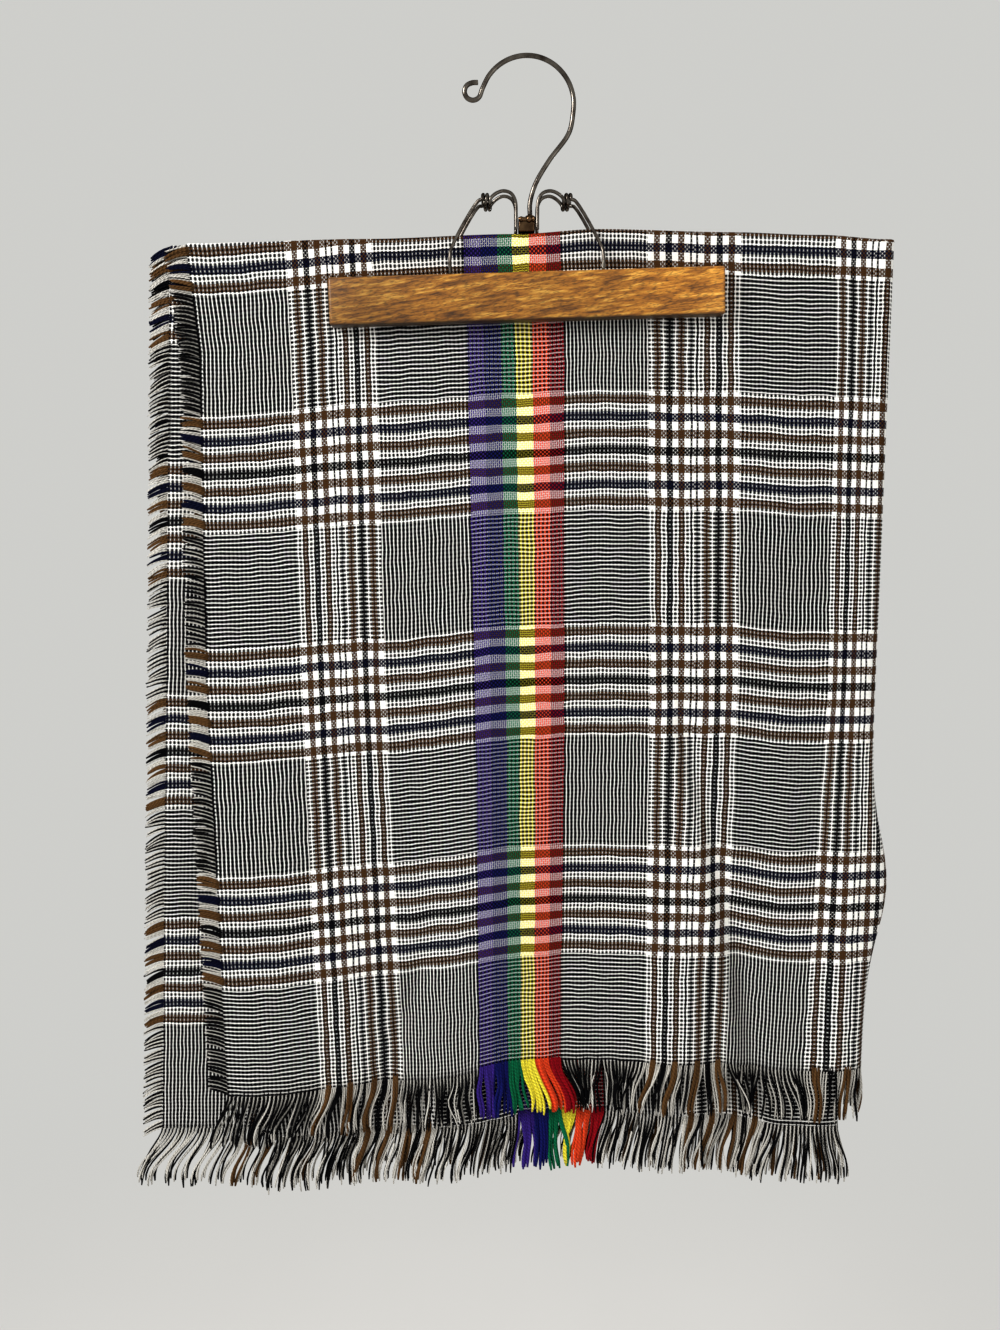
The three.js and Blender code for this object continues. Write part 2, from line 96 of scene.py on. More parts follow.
# Soft folds that all layers share, and long creases of the outer layers alone.
SOFT_FOLDS = [
    # x, ahead, run, lean, start
    (-168.0, 5.0, 34.0, 0.02, -190.0),
    (-84.0, -5.5, 22.0, 0.05, -330.0),
    (-36.0, 4.5, 27.0, 0.00, -210.0),
    (40.0, -4.0, 32.0, -0.03, -240.0),
    (104.0, 6.0, 23.0, -0.03, -300.0),
    (152.0, -3.5, 22.0, 0.00, -220.0),
    (201.0, 6.0, 17.0, 0.04, -380.0),
]
CREASES = [
    # from x, from z, to x, to z, ahead, run
    (52.0, -255.0, 92.0, -428.0, 1.3, 7.0),
    (62.0, -262.0, 104.0, -432.0, -1.5, 7.0),
    (88.0, -400.0, 140.0, -640.0, 3.6, 7.5),
    (100.0, -395.0, 155.0, -640.0, -4.6, 7.5),
    (-62.0, -470.0, -60.0, -560.0, -2.0, 8.0),
    (-62.0, -545.0, -98.0, -655.0, -3.0, 8.0),
    (-74.0, -500.0, -80.0, -590.0, 1.6, 7.0),
    (-122.0, -168.0, -150.0, -330.0, 1.6, 9.0),
    (-60.0, -175.0, -78.0, -300.0, -1.4, 7.0),
    (-20.0, -210.0, -8.0, -420.0, 1.1, 10.0),
    (62.0, -180.0, 46.0, -300.0, -1.3, 8.0),
    (126.0, -170.0, 160.0, -300.0, 1.5, 9.0),
    (172.0, -310.0, 181.0, -500.0, -1.6, 8.0),
    (186.0, -440.0, 193.0, -628.0, -2.8, 6.0),
    (-176.0, -380.0, -170.0, -600.0, -1.5, 9.0),
    (-128.0, -520.0, -119.0, -645.0, 1.9, 7.0),
    (20.0, -500.0, 26.0, -630.0, -1.7, 8.0),
]
CREASE_BOW = 3.0          # how far a crease bows sideways
CREASE_END, CREASE_FADE = 25.0, 60.0   # how far past its ends it fades, and over what
REAR_CREASES = 0.45       # strength on the rear leg


def mix(a, b, f):
    """a where f is 0, b where f is 1, and straight between."""
    return a + (b - a) * f


def ease(f):
    """From 0 to 1 with soft ends: f squared times 3 minus 2 f."""
    f = np.clip(f, 0.0, 1.0)
    return f * f * (3.0 - 2.0 * f)


def look_up(column, across):
    """Value of a HANG column, eased from row to row."""
    places = HANG["across"]
    row = np.clip(np.searchsorted(places, across) - 1, 0, len(places) - 2)
    f = ease((across - places[row]) / (places[row + 1] - places[row]))
    return mix(HANG[column][row], HANG[column][row + 1], f)


def through(knots, values, at):
    """Straight from knot to knot, and on past both ends. Knots run down axis 0."""
    row = np.clip((knots[1:-1] < at).sum(axis=0), 0, len(knots) - 2)[None]
    pick = [np.take_along_axis(a, row + k, axis=0)[0] for a in (knots, values) for k in (0, 1)]
    return mix(pick[2], pick[3], (at - pick[0]) / (pick[1] - pick[0]))


def openness(x, z):
    """How far the layers part: away squared over away squared plus run squared."""
    beside = np.maximum(0.0, np.abs(x) - BAR["length"] / 2 - PRESSED_MARGIN)
    above = np.maximum(0.0, z - (BAR["z"] + BAR["height"] / 2 + PRESSED_MARGIN))
    below = np.maximum(0.0, BAR["z"] - BAR["height"] / 2 - PRESSED_MARGIN - z)
    away = beside**2 + above**2 + below**2
    return away / (away + OPENING_RUN**2)


def soft_folds(x, z):
    """Shift along Y: a row of soft bumps that grow down the cloth."""
    y = np.zeros_like(x)
    for fold_x, ahead, run, lean, start in SOFT_FOLDS:
        grown = ease((start - z) / (start - LEG_BOTTOM))
        y -= ahead * grown * np.exp(-(((x - fold_x - lean * (z - LEG_BOTTOM)) / run) ** 2))
    return y


def creases(x, z, mirror):
    """Shift along Y by long troughs and ridges: a bump across each line, faded at its ends."""
    y = np.zeros_like(x)
    for x0, z0, x1, z1, ahead, run in CREASES:
        x0, x1 = (-x0, -x1) if mirror else (x0, x1)
        length = math.hypot(x1 - x0, z1 - z0)
        along = ((x - x0) * (x1 - x0) + (z - z0) * (z1 - z0)) / length
        aside = ((x - x0) * (z1 - z0) - (z - z0) * (x1 - x0)) / length
        bowed = aside + CREASE_BOW * np.sin(along / length * math.pi)
        fade = ease((along + CREASE_END) / CREASE_FADE)
        fade = fade * ease((length + CREASE_END - along) / CREASE_FADE)
        y += ahead * fade * np.exp(-((bowed / run) ** 2))
    return y


def front_fold_x(z):
    """X of the front fold's outline, with the swelling low on it."""
    top = HANG["top"][-1]
    down = np.clip((z - top) / (LEG_BOTTOM - top), 0, 1)
    bulge = FOLD_BULGE["height"] * np.exp(-(((z - FOLD_BULGE["z"]) / FOLD_BULGE["run"]) ** 2))
    return mix(FRONT_FOLD_X["top"], FRONT_FOLD_X["hem"], down) + bulge


def front_layer_x(weft, z, fold_weft, fold_x):
    """X of the front layer: through the warp lines' places at this height, to the fold."""
    height = np.minimum(z, WARP_HEIGHTS[-1])
    rows = np.broadcast_to(WARP_HEIGHTS[:, None], (4, z.size))
    lines = []
    for line in WARP_LINES[:, 1:]:
        lines.append(through(rows, np.broadcast_to(line[:, None], rows.shape), height))
    knots = np.vstack([np.broadcast_to(WARP_LINES[:, :1], (8, z.size)), fold_weft[None]])
    return through(knots, np.vstack([*lines, fold_x[None]]), weft)


def sheet(u, v):
    """The cloth's middle surface, and each point's place on the flat cloth.

    u runs across: 0 to 1 the front side, 1 to 2 the right fold, 2 to 3 the back
    side. v runs along: 0 to 1 up the front leg, 1 to 2 over the top fold, 2 to 3
    down the rear leg. Both may run a little past the edges.
    """
    shape = np.broadcast(u, v).shape
    u, v = (np.broadcast_to(a, shape).ravel().astype(float) for a in (u, v))
    across = np.clip(np.where(u <= 1, u, 3 - u), 0, 1)
    top = look_up("top", across)
    rear = v > 1.5
    down = np.where(v <= 1, 1 - v, np.maximum(0, v - 2))
    slid = np.where(rear, down, 0.0)

    raw_edge = np.where(u <= 1, WARP_LINES[0, 4], BACK_EDGE_X["top"])
    top_open = openness(mix(raw_edge, FRONT_FOLD_X["top"], across), top)
    bend = (mix(OUTER_PRESSED, OUTER_FREE, top_open) - mix(INNER_PRESSED, INNER_FREE, top_open)) / 2
    turn = math.pi * np.clip(v - 1, 0, 1)
    axis = top - WALL / 2 - bend
    hem = np.where(rear, look_up("rear_hem", across), look_up("front_hem", across))
    z = np.where((v > 1) & (v < 2), axis + bend * np.sin(turn), mix(axis, hem, down))

    def spread(x):
        opened = openness(x, z)
        outer = mix(OUTER_PRESSED, OUTER_FREE, opened)
        inner = mix(INNER_PRESSED, INNER_FREE, opened)
        return (outer + inner) / 2 + (outer - inner) / 2 * np.cos(turn)

    outline = np.where(rear, mix(front_fold_x(top), REAR_FOLD_X, slid), front_fold_x(z))
    fold_spread = spread(outline)
    fold_x = outline - fold_spread
    half_turn = math.pi * fold_spread / 2
    angle = math.pi * (u - 1.5)

    weft_front = u * (FOLD_WEFT - half_turn)
    top_fold = np.where(rear, front_fold_x(top) - fold_spread, fold_x)
    top_x = front_layer_x(weft_front, np.where(rear, top, z), FOLD_WEFT - half_turn, top_fold)
    hem_x = REAR_FOLD_X - fold_spread - (1 - u) * (REAR_FOLD_WEFT - half_turn) * REAR_TAKE_UP
    front_x = mix(top_x, hem_x, slid)
    edge_hem = np.where(rear, BACK_EDGE_X["rear_hem"], BACK_EDGE_X["front_hem"])
    back_x = mix(fold_x, mix(BACK_EDGE_X["top"], edge_hem, down), u - 2)

    bent = (u >= 1) & (u <= 2)
    x = np.where(bent, fold_x + fold_spread * np.cos(angle), np.where(u < 1, front_x, back_x))
    place = np.where(bent, fold_x, x)
    side = np.where(bent, np.sin(angle), np.where(u < 1, -1.0, 1.0))
    y = side * np.where(bent, fold_spread, spread(x)) + soft_folds(place, z)
    crease = np.where(side < 0, -creases(x, z, False), creases(x, z, True))
    y += crease * np.abs(side) * openness(x, z) * np.where(rear, REAR_CREASES, 1.0)

    fold_weft = mix(FOLD_WEFT, REAR_FOLD_WEFT, slid)
    weft = np.where(
        u < 1,
        u * (fold_weft - half_turn),
        np.where(
            bent,
            fold_weft + (u - 1.5) * 2 * half_turn,
            mix(fold_weft + half_turn, CUT_WIDTH, u - 2),
        ),
    )
    over = math.pi * bend / 2
    warp = np.where(
        v < 1,
        v * (FRONT_LEG - over),
        np.where(v <= 2, FRONT_LEG + (v - 1.5) * 2 * over, mix(FRONT_LEG + over, CUT_LENGTH, v - 2)),
    )
    points = np.stack([x, y, z], axis=-1).reshape(*shape, 3)
    return points, weft.reshape(shape), warp.reshape(shape)


def sheet_normal(u, v):
    """Unit normal from short steps both ways. It points to the cloth's right side."""
    step = 0.002
    along = sheet(u, v + step)[0] - sheet(u, v - step)[0]
    across = sheet(u + step, v)[0] - sheet(u - step, v)[0]
    normal = np.cross(across, along)
    return normal / np.linalg.norm(normal, axis=-1, keepdims=True)


# The threads: 54 picks in a plain row and 56 in a striped one, 1.3 mm apart. The
# ends are 0.93 mm apart, too fine to show, so they are drawn 1.24 mm apart: 46 in
# place of about 62 in every column.
COLUMN_ENDS, STRIPED_ENDS = 46, 46
ROW_PICKS, STRIPED_PICKS = 54, 56
END_PERIOD = COLUMN_ENDS + STRIPED_ENDS
PICK_PERIOD = ROW_PICKS + STRIPED_PICKS
ENDS = 7 * END_PERIOD + COLUMN_ENDS
PICKS = 7 * PICK_PERIOD + ROW_PICKS
MIDDLE_BAND_END = 447.9   # weft place where the striped column on the right fold ends
PICK_PITCH = 1.3
CENTRE_PICKS = 4 * PICK_PERIOD

# How far the weft hangs out of square, and over which shares and runs of the cloth.
SUNK = {"depth": 5.0, "across": 0.32, "from": 290.0, "run": 190.0}
HELD = {"hem": 3.2, "less": 2.2, "across": 0.3, "run": 70.0}
SKEWED = 20.0
SQUARE_RUN = 500.0        # the rear leg hangs square again over this run to its hem


def end_of(weft):
    """Which warp thread lies at a weft place: straight between the pattern's lines."""
    places = [*WARP_LINES[:, 0], MIDDLE_BAND_END, CUT_WIDTH]
    counts = [*(COLUMN_ENDS * np.arange(9)), ENDS]
    return np.interp(weft, places, counts)


def pick_of(warp, across, behind):
    """Which weft thread lies at a warp place. The rear leg's picks lie a little wider.

    The cloth hangs out of square: beside the clamp its threads have sunk, most of
    all near the top at the left, and between the bars they are held up. The half
    that is folded behind is skewed too, most at its free edge.
    """
    sunk = SUNK["depth"] * (1 - ease(across / SUNK["across"])) * ease((warp - SUNK["from"]) / SUNK["run"])
    held = (HELD["hem"] - HELD["less"] * warp / FRONT_LEG) * ease(across / HELD["across"])
    held = held * ease(warp / HELD["run"])
    skewed = SKEWED * behind * np.minimum(warp / FRONT_LEG, (CUT_LENGTH - warp) / REAR_LEG)
    square = warp - skewed + (sunk - held) * ease((CUT_LENGTH - warp) / SQUARE_RUN)
    return np.interp(square, [0.0, CENTRE_PICKS * PICK_PITCH, CUT_LENGTH], [0, CENTRE_PICKS, PICKS])


def closed_grid(count_u, count_v):
    """Faces of a wall over a grid: two skins, and a rim round the four edges.

    Corner i, j of the right side is vertex i * count_v + j, and the wrong side's
    follow after all of those.
    """
    index = np.arange(count_u * count_v).reshape(count_u, count_v)
    other = index + count_u * count_v
    skin = np.stack([index[:-1, :-1], index[1:, :-1], index[1:, 1:], index[:-1, 1:]], -1)
    faces = [skin.reshape(-1, 4), (skin[..., ::-1] + count_u * count_v).reshape(-1, 4)]
    rims = ((index[:, 0], other[:, 0]), (other[:, -1], index[:, -1]), (other[0], index[0]),
            (index[-1], other[-1]))
    for a, b in rims:
        faces.append(np.stack([a[:-1], b[:-1], b[1:], a[1:]], -1))
    return np.concatenate(faces)


def new_mesh(name, points, faces, uv=None, smooth=True):
    """A mesh from points in mm and quads, with one UV pair for each point."""
    mesh = bpy.data.meshes.new(name)
    mesh.vertices.add(len(points))
    mesh.vertices.foreach_set("co", (np.asarray(points) * MM).astype(np.float32).ravel())
    mesh.loops.add(faces.size)
    mesh.loops.foreach_set("vertex_index", faces.astype(np.int32).ravel())
    mesh.polygons.add(len(faces))
    mesh.polygons.foreach_set("loop_start", np.arange(0, faces.size, faces.shape[1], dtype=np.int32))
    mesh.polygons.foreach_set("use_smooth", np.full(len(faces), smooth))
    if uv is not None:
        layer = mesh.uv_layers.new(name="threads")
        layer.data.foreach_set("uv", uv[faces.ravel()].astype(np.float32).ravel())
    mesh.update()
    mesh.validate()
    made = bpy.data.objects.new(name, mesh)
    bpy.context.collection.objects.link(made)
    return made


def face_outward(made):
    """Turns the whole closed mesh inside out if its volume comes out negative."""
    mesh = made.data
    mesh.calc_loop_triangles()
    corners = np.empty(len(mesh.loop_triangles) * 3, dtype=np.int32)
    mesh.loop_triangles.foreach_get("vertices", corners)
    points = np.empty(len(mesh.vertices) * 3)
    mesh.vertices.foreach_get("co", points)
    a, b, c = points.reshape(-1, 3)[corners.reshape(-1, 3)].transpose(1, 0, 2)
    if np.einsum("ij,ij->i", a, np.cross(b, c)).sum() < 0:
        mesh.flip_normals()
    return made


def stations(*runs):
    """Places along u or v: each run is (from, to, cells), and the last one ends it."""
    parts = [np.linspace(a, b, cells, endpoint=False) for a, b, cells in runs]
    return np.concatenate([*parts, [runs[-1][1]]])


across_cloth = stations((0, 1, 112), (1, 2, 12), (2, 3, 92))
along_cloth = stations((0, 1, 92), (1, 2, 10), (2, 3, 92))
grid_u, grid_v = np.meshgrid(across_cloth, along_cloth, indexing="ij")
middle, weft, warp = sheet(grid_u, grid_v)
out = sheet_normal(grid_u, grid_v) * WALL / 2
skins = np.concatenate([(middle + out).reshape(-1, 3), (middle - out).reshape(-1, 3)])
side_across = np.where(grid_u <= 1, grid_u, np.clip(3 - grid_u, 0, 1))
# Cloth from the back side comes round the fold, most where it swells out.
DRAWN_ROUND, DRAWN_BY_SWELLING = 7.0, 1.1
FOLD_HALF = 13.0          # weft length of half the fold
swelling = FOLD_BULGE["height"] * np.exp(-(((middle[..., 2] - FOLD_BULGE["z"]) / FOLD_BULGE["run"]) ** 2))
last_line = WARP_LINES[-1, 0]
near_fold = np.where(grid_u <= 1, (weft - last_line) / (FOLD_WEFT - FOLD_HALF - last_line), 3 - grid_u)
drawn = (DRAWN_ROUND + DRAWN_BY_SWELLING * swelling) * np.clip(near_fold, 0, 1) * np.clip(2 - grid_v, 0, 1)
behind = ease(grid_u - 2)
threads = np.stack([end_of(weft + drawn), pick_of(warp, side_across, behind)], -1).reshape(-1, 2)
cloth = face_outward(new_mesh(
    "shawl_cloth_woven", skins, closed_grid(len(across_cloth), len(along_cloth)),
    np.concatenate([threads, threads]),
))
wrong_side = cloth.data.attributes.new("wrong_side", "FLOAT", "POINT")
wrong_side.data.foreach_set("value", np.repeat([0.0, 1.0], middle.size // 3).astype(np.float32))

# ------------------------------------------------------------ the plaid's weave
# Plain weave in acrylic yarn. Black and white threads alternate in the plain
# blocks, so they show as pinstripes up or across, and every striped band starts
# them one thread later. The second striped column is a rainbow.
YARNS = {
    "white": "#FAF8F4", "black": "#040407", "brown": "#50361E", "navy": "#0A0E2A",
    "purple": "#442E88", "blue": "#1A1E68", "green": "#107650", "yellow": "#F6E84C",
    "orange": "#EA542C", "red": "#980E1E",
}
WARP_STRIPES = [
    (0, "white"), (3, "brown"), (6, "white"), (9, "black"), (12, "white"), (15, "brown"),
    (18, "white"), (21, "black"), (22, "white"), (24, "black"), (25, "white"), (28, "brown"),
    (31, "white"), (34, "black"), (37, "white"), (40, "brown"), (43, "white"),
]
RAINBOW = [(0, "purple"), (8, "blue"), (16, "green"), (23, "yellow"), (31, "orange"), (39, "red")]
WEFT_STRIPES = [
    (0, "white"), (2, "brown"), (6, "white"), (10, "navy"), (14, "white"), (18, "brown"),
    (22, "white"), (26, "black"), (30, "white"), (34, "brown"), (38, "white"), (42, "navy"),
    (46, "white"), (50, "brown"), (54, "white"),
]


def linear(hex_colour):
    """Linear RGBA of an sRGB hex colour."""
    srgb = [int(hex_colour[i:i + 2], 16) / 255 for i in (1, 3, 5)]
    return (*[c / 12.92 if c <= 0.04045 else ((c + 0.055) / 1.055) ** 2.4 for c in srgb], 1.0)


def add(tree, kind, *inputs, out=0, stops=None, named=None, **settings):
    """Adds a node, fills its sockets with values or links, and returns an output."""
    made = tree.nodes.new("ShaderNode" + kind)
    for name, value in settings.items():
        setattr(made, name, value)
    if stops:
        ramp = made.color_ramp
        ramp.interpolation = settings.get("label") or "LINEAR"
        ramp.elements[1].position = stops[-1][0]
        ramp.elements[1].color = linear(stops[-1][1])
        ramp.elements[0].position = stops[0][0]
        ramp.elements[0].color = linear(stops[0][1])
        for position, hex_colour in stops[1:-1]:
            ramp.elements.new(position).color = linear(hex_colour)
    for key, value in [*enumerate(inputs), *(named or {}).items()]:
        if isinstance(value, bpy.types.NodeSocket):
            tree.links.new(value, made.inputs[key])
        elif value is not None:
            made.inputs[key].default_value = value
    return made if out is None else made.outputs[out]


def new_material(name):
    """An empty node material with its output, and its tree."""
    material = bpy.data.materials.new(name)
    material.use_nodes = True
    tree = material.node_tree
    tree.nodes.clear()
    return material, tree


def thread_colour(tree, number, period, plain, stripes, width, shift):
    """A thread's colour and how pale the threads beside it are, by its number.

    In a block threads are black or white in turn, so those beside a black one are
    white. In a band they follow its stripes, and those beside are mostly the same.
    shift is the socket that says how many threads late a block starts, which is
    how many striped bands come before it.
    """
    band = add(tree, "Math", add(tree, "Math", number, 0.5, operation="ADD"), float(period),
               operation="DIVIDE")
    block = add(tree, "Math", band, operation="FLOOR")
    within = add(tree, "Math", number, add(tree, "Math", block, float(period), operation="MULTIPLY"),
                 operation="SUBTRACT")
    late = shift(block)
    odd = add(tree, "Math", add(tree, "Math", number, late, operation="ADD"), 2.0,
              operation="FLOORED_MODULO")
    blocks = add(tree, "ValToRGB", odd, label="CONSTANT",
                 stops=[(0.0, YARNS["black"]), (0.5, YARNS["white"])])
    place = add(tree, "Math", add(tree, "Math", within, plain - 0.5, operation="SUBTRACT"),
                float(width), operation="DIVIDE")
    painted = []
    for table in stripes:
        rows = [(start / width, YARNS[name]) for start, name in table]
        painted.append(add(tree, "ValToRGB", place, label="CONSTANT", stops=rows))
    if len(painted) > 1:
        second = add(tree, "Math", block, 1.0, 0.5, operation="COMPARE")
        painted = [add(tree, "Mix", named={0: second, 6: painted[0], 7: painted[1]}, out=2,
                       data_type="RGBA")]
    in_band = add(tree, "Math", within, plain - 0.5, operation="GREATER_THAN")
    colour = add(tree, "Mix", named={0: in_band, 6: blocks, 7: painted[0]}, out=2, data_type="RGBA")
    own = add(tree, "RGBToBW", colour)
    other = add(tree, "Math", 1.0, own, operation="SUBTRACT")
    beside = add(tree, "Mix", named={0: in_band, 2: other, 3: own})
    return colour, beside


cloth_finish, tree = new_material("acrylic_plaid_weave")
uv = add(tree, "UVMap", uv_map="threads")
# Real threads wander a little from their straight count, over some twelve threads.
wander = add(tree, "TexNoise", named={"Vector": uv, "Scale": 0.085, "Detail": 1.0}, out="Color")
drift = add(tree, "VectorMath", add(tree, "VectorMath", wander, (0.5, 0.5, 0.5), operation="SUBTRACT"),
            (1.3, 1.5, 0.0), operation="MULTIPLY")
split = add(tree, "SeparateXYZ", add(tree, "VectorMath", uv, drift, operation="ADD"), out=None)
end = add(tree, "Math", split.outputs[0], operation="FLOOR")
pick = add(tree, "Math", split.outputs[1], operation="FLOOR")
warp_colour, warp_beside = thread_colour(
    tree, end, END_PERIOD, COLUMN_ENDS, (WARP_STRIPES, RAINBOW), STRIPED_ENDS, lambda block: block,
)
# The weft is symmetric about its middle band, so rows above that start no later.
weft_colour, weft_beside = thread_colour(
    tree, pick, PICK_PERIOD, ROW_PICKS, (WEFT_STRIPES,), STRIPED_PICKS,
    lambda block: add(tree, "Math", block, add(tree, "Math", block, 3.5, operation="GREATER_THAN"),
                      operation="SUBTRACT"),
)
reverse = add(tree, "Attribute", attribute_name="wrong_side", out="Fac")
turned = add(tree, "Math", reverse, operation="ROUND")
crossing = add(tree, "Math", add(tree, "Math", end, pick, operation="ADD"), turned, operation="ADD")
weft_on_top = add(tree, "Math", crossing, 2.0, operation="FLOORED_MODULO")
yarn = add(tree, "Mix", named={0: weft_on_top, 6: warp_colour, 7: weft_colour}, out=2,
           data_type="RGBA")
under = add(tree, "Mix", named={0: weft_on_top, 6: weft_colour, 7: warp_colour}, out=2,
            data_type="RGBA")

# Each float is a short pillow, round across its thread and low at both ends. The
# yarn that crosses under it shows at its sides, and the dark yarns, which are
# fluffier, crowd the pale ones. The dips at a float's ends get painted shade: dark
# where black threads meet it there, and lit by painted bounce light where white ones do.
in_end = add(tree, "Math", split.outputs[0], operation="FRACT")
in_pick = add(tree, "Math", split.outputs[1], operation="FRACT")
round_end = add(tree, "Math", add(tree, "Math", in_end, math.pi, operation="MULTIPLY"),
                operation="SINE")
round_pick = add(tree, "Math", add(tree, "Math", in_pick, math.pi, operation="MULTIPLY"),
                 operation="SINE")
cross_round = add(tree, "Mix", named={0: weft_on_top, 2: round_end, 3: round_pick})
end_round = add(tree, "Mix", named={0: weft_on_top, 2: round_pick, 3: round_end})
pillow = add(tree, "Math", add(tree, "Math", cross_round, 0.5, operation="POWER"),
             add(tree, "Math", end_round, 0.35, operation="POWER"), operation="MULTIPLY")
lightness = add(tree, "RGBToBW", yarn)
crowded = add(tree, "MapRange", lightness, 0.0, 0.6, 0.0, 0.7)
# In the rainbow the dyed yarns are crowded too, so its weft shows as rows of dots.
in_rainbow = add(tree, "Math", end, 1.5 * END_PERIOD + 0.5 * COLUMN_ENDS - 0.5, STRIPED_ENDS / 2,
                 operation="COMPARE")
dyed_crowded = add(tree, "Math", add(tree, "Math", crowded, 1.12, operation="MULTIPLY"),
                   add(tree, "MapRange", lightness, 0.0, 0.03, 0.0, 0.45), operation="MAXIMUM")
crowded = add(tree, "Mix", named={0: in_rainbow, 2: crowded, 3: dyed_crowded})
covered = add(tree, "MapRange", cross_round, crowded,
              add(tree, "Math", crowded, 0.24, operation="ADD"), 0.0, 1.0)
laid = add(tree, "Mix", named={0: covered, 6: under, 7: yarn}, out=2, data_type="RGBA")
beside_ends = add(tree, "Mix", named={0: weft_on_top, 2: weft_beside, 3: warp_beside})
# Painted shade in the dips at a float's ends: light beside pale threads, dark beside black ones.
painted_dip_shade = add(tree, "MapRange", beside_ends, 0.0, 0.8, 0.07, 0.95)
ends_crowded = add(tree, "Math", crowded, add(tree, "MapRange", beside_ends, 0.0, 0.8, 1.0, 0.0),
                   operation="MULTIPLY")
raised = add(tree, "MapRange", end_round, ends_crowded,
             add(tree, "Math", ends_crowded, 0.24, operation="ADD"), 0.0, 1.0)
# Painted shade on a float's low ends, none on its raised middle.
painted_gap_shade = add(tree, "Mix", named={0: raised, 2: painted_dip_shade, 3: 1.0})
fibre = add(tree, "TexNoise", named={"Vector": uv, "Scale": 0.9, "Detail": 3.0, "Roughness": 0.7},
            out="Fac")
tone = add(tree, "MapRange", fibre, 0.3, 0.7, 0.9, 1.06)
# The fibres' random tone times the painted dip shade.
shade = add(tree, "Math", tone, painted_gap_shade, operation="MULTIPLY")
shaded = add(tree, "VectorMath", laid, named={"Scale": shade}, operation="SCALE")
relief = add(tree, "Bump", named={"Strength": 0.55, "Distance": 0.00035, "Height": pillow})
shader = add(tree, "BsdfPrincipled", named={
    "Base Color": shaded, "Roughness": 0.9, "Normal": relief, "IOR": 1.47,
    "Specular IOR Level": 0.1,
})
add(tree, "OutputMaterial", shader, out=None)
cloth.data.materials.append(cloth_finish)

# ------------------------------------------------------------------ the fringe
# The cloth's own threads, left unwoven past its four edges: warp ends 35 to 40 mm
# long at both hems, and weft ends of 12 mm down both sides. They hang in loose
# bunches and keep the colours they have in the cloth, but the brown is paler and
# the white is greyed by painted shade.
HEM_REACH = {"front": 35.0, "rear": 40.0}
SIDE_REACH = 12.8
HEM_YARN, SIDE_YARN = 1.3, 1.4        # thickness, as they fluff out when loose
HEM_BUNCH, SIDE_BUNCH = 4.6, 4.5      # width of a bunch of yarns along the edge
# Thickness of each sort of yarn as a share of those, and how far the side yarns
# stand proud of their layer. Matted ones lie in the plain rows by the top fold.
DYED_FLUFF = 1.3
HEM_FLUFF = {"dark": DYED_FLUFF, "dyed": 1.55 * DYED_FLUFF, "stray": 0.75, "front": 1.0, "rear": 1.14}
SIDE_FLUFF = {"dyed": DYED_FLUFF, "dyed_in_row": 1.15, "pale": 0.78, "matted": 0.65}
SIDE_STAND = {"dyed": 0.4, "pale": -0.15, "matted": -0.4}
MATTED_RUN = 140.0
LOOSE_TONE_AND_SHADE = {"brown": "#664A2C", "white": "#DAD6CE"}      # the brown paler than woven in, the white greyed by painted shade
DYED_BLUE, DARK_MOST = 0.35, 0.04     # linear colour levels that tell the sorts apart
random = np.random.default_rng(23)


def colours_of(numbers, period, plain, tables, late):
    """Linear colours of threads by number, by the same rule as the weave's nodes."""
    names = []
    for number in numbers:
        block, within = divmod(int(number), period)
        if within < plain:
            names.append("black" if (number + late(block)) % 2 == 0 else "white")
            continue
        table = tables[1] if len(tables) > 1 and block == 1 else tables[0]
        names.append([name for start, name in table if start <= within - plain][-1])
    # Loose white yarns take the greyed white: painted shade.
    colours = np.array([linear(LOOSE_TONE_AND_SHADE.get(name, YARNS[name])) for name in names])
    colours[:, :3] *= random.uniform(0.82, 1.12, (len(names), 1))
    return np.clip(colours, 0, 1)


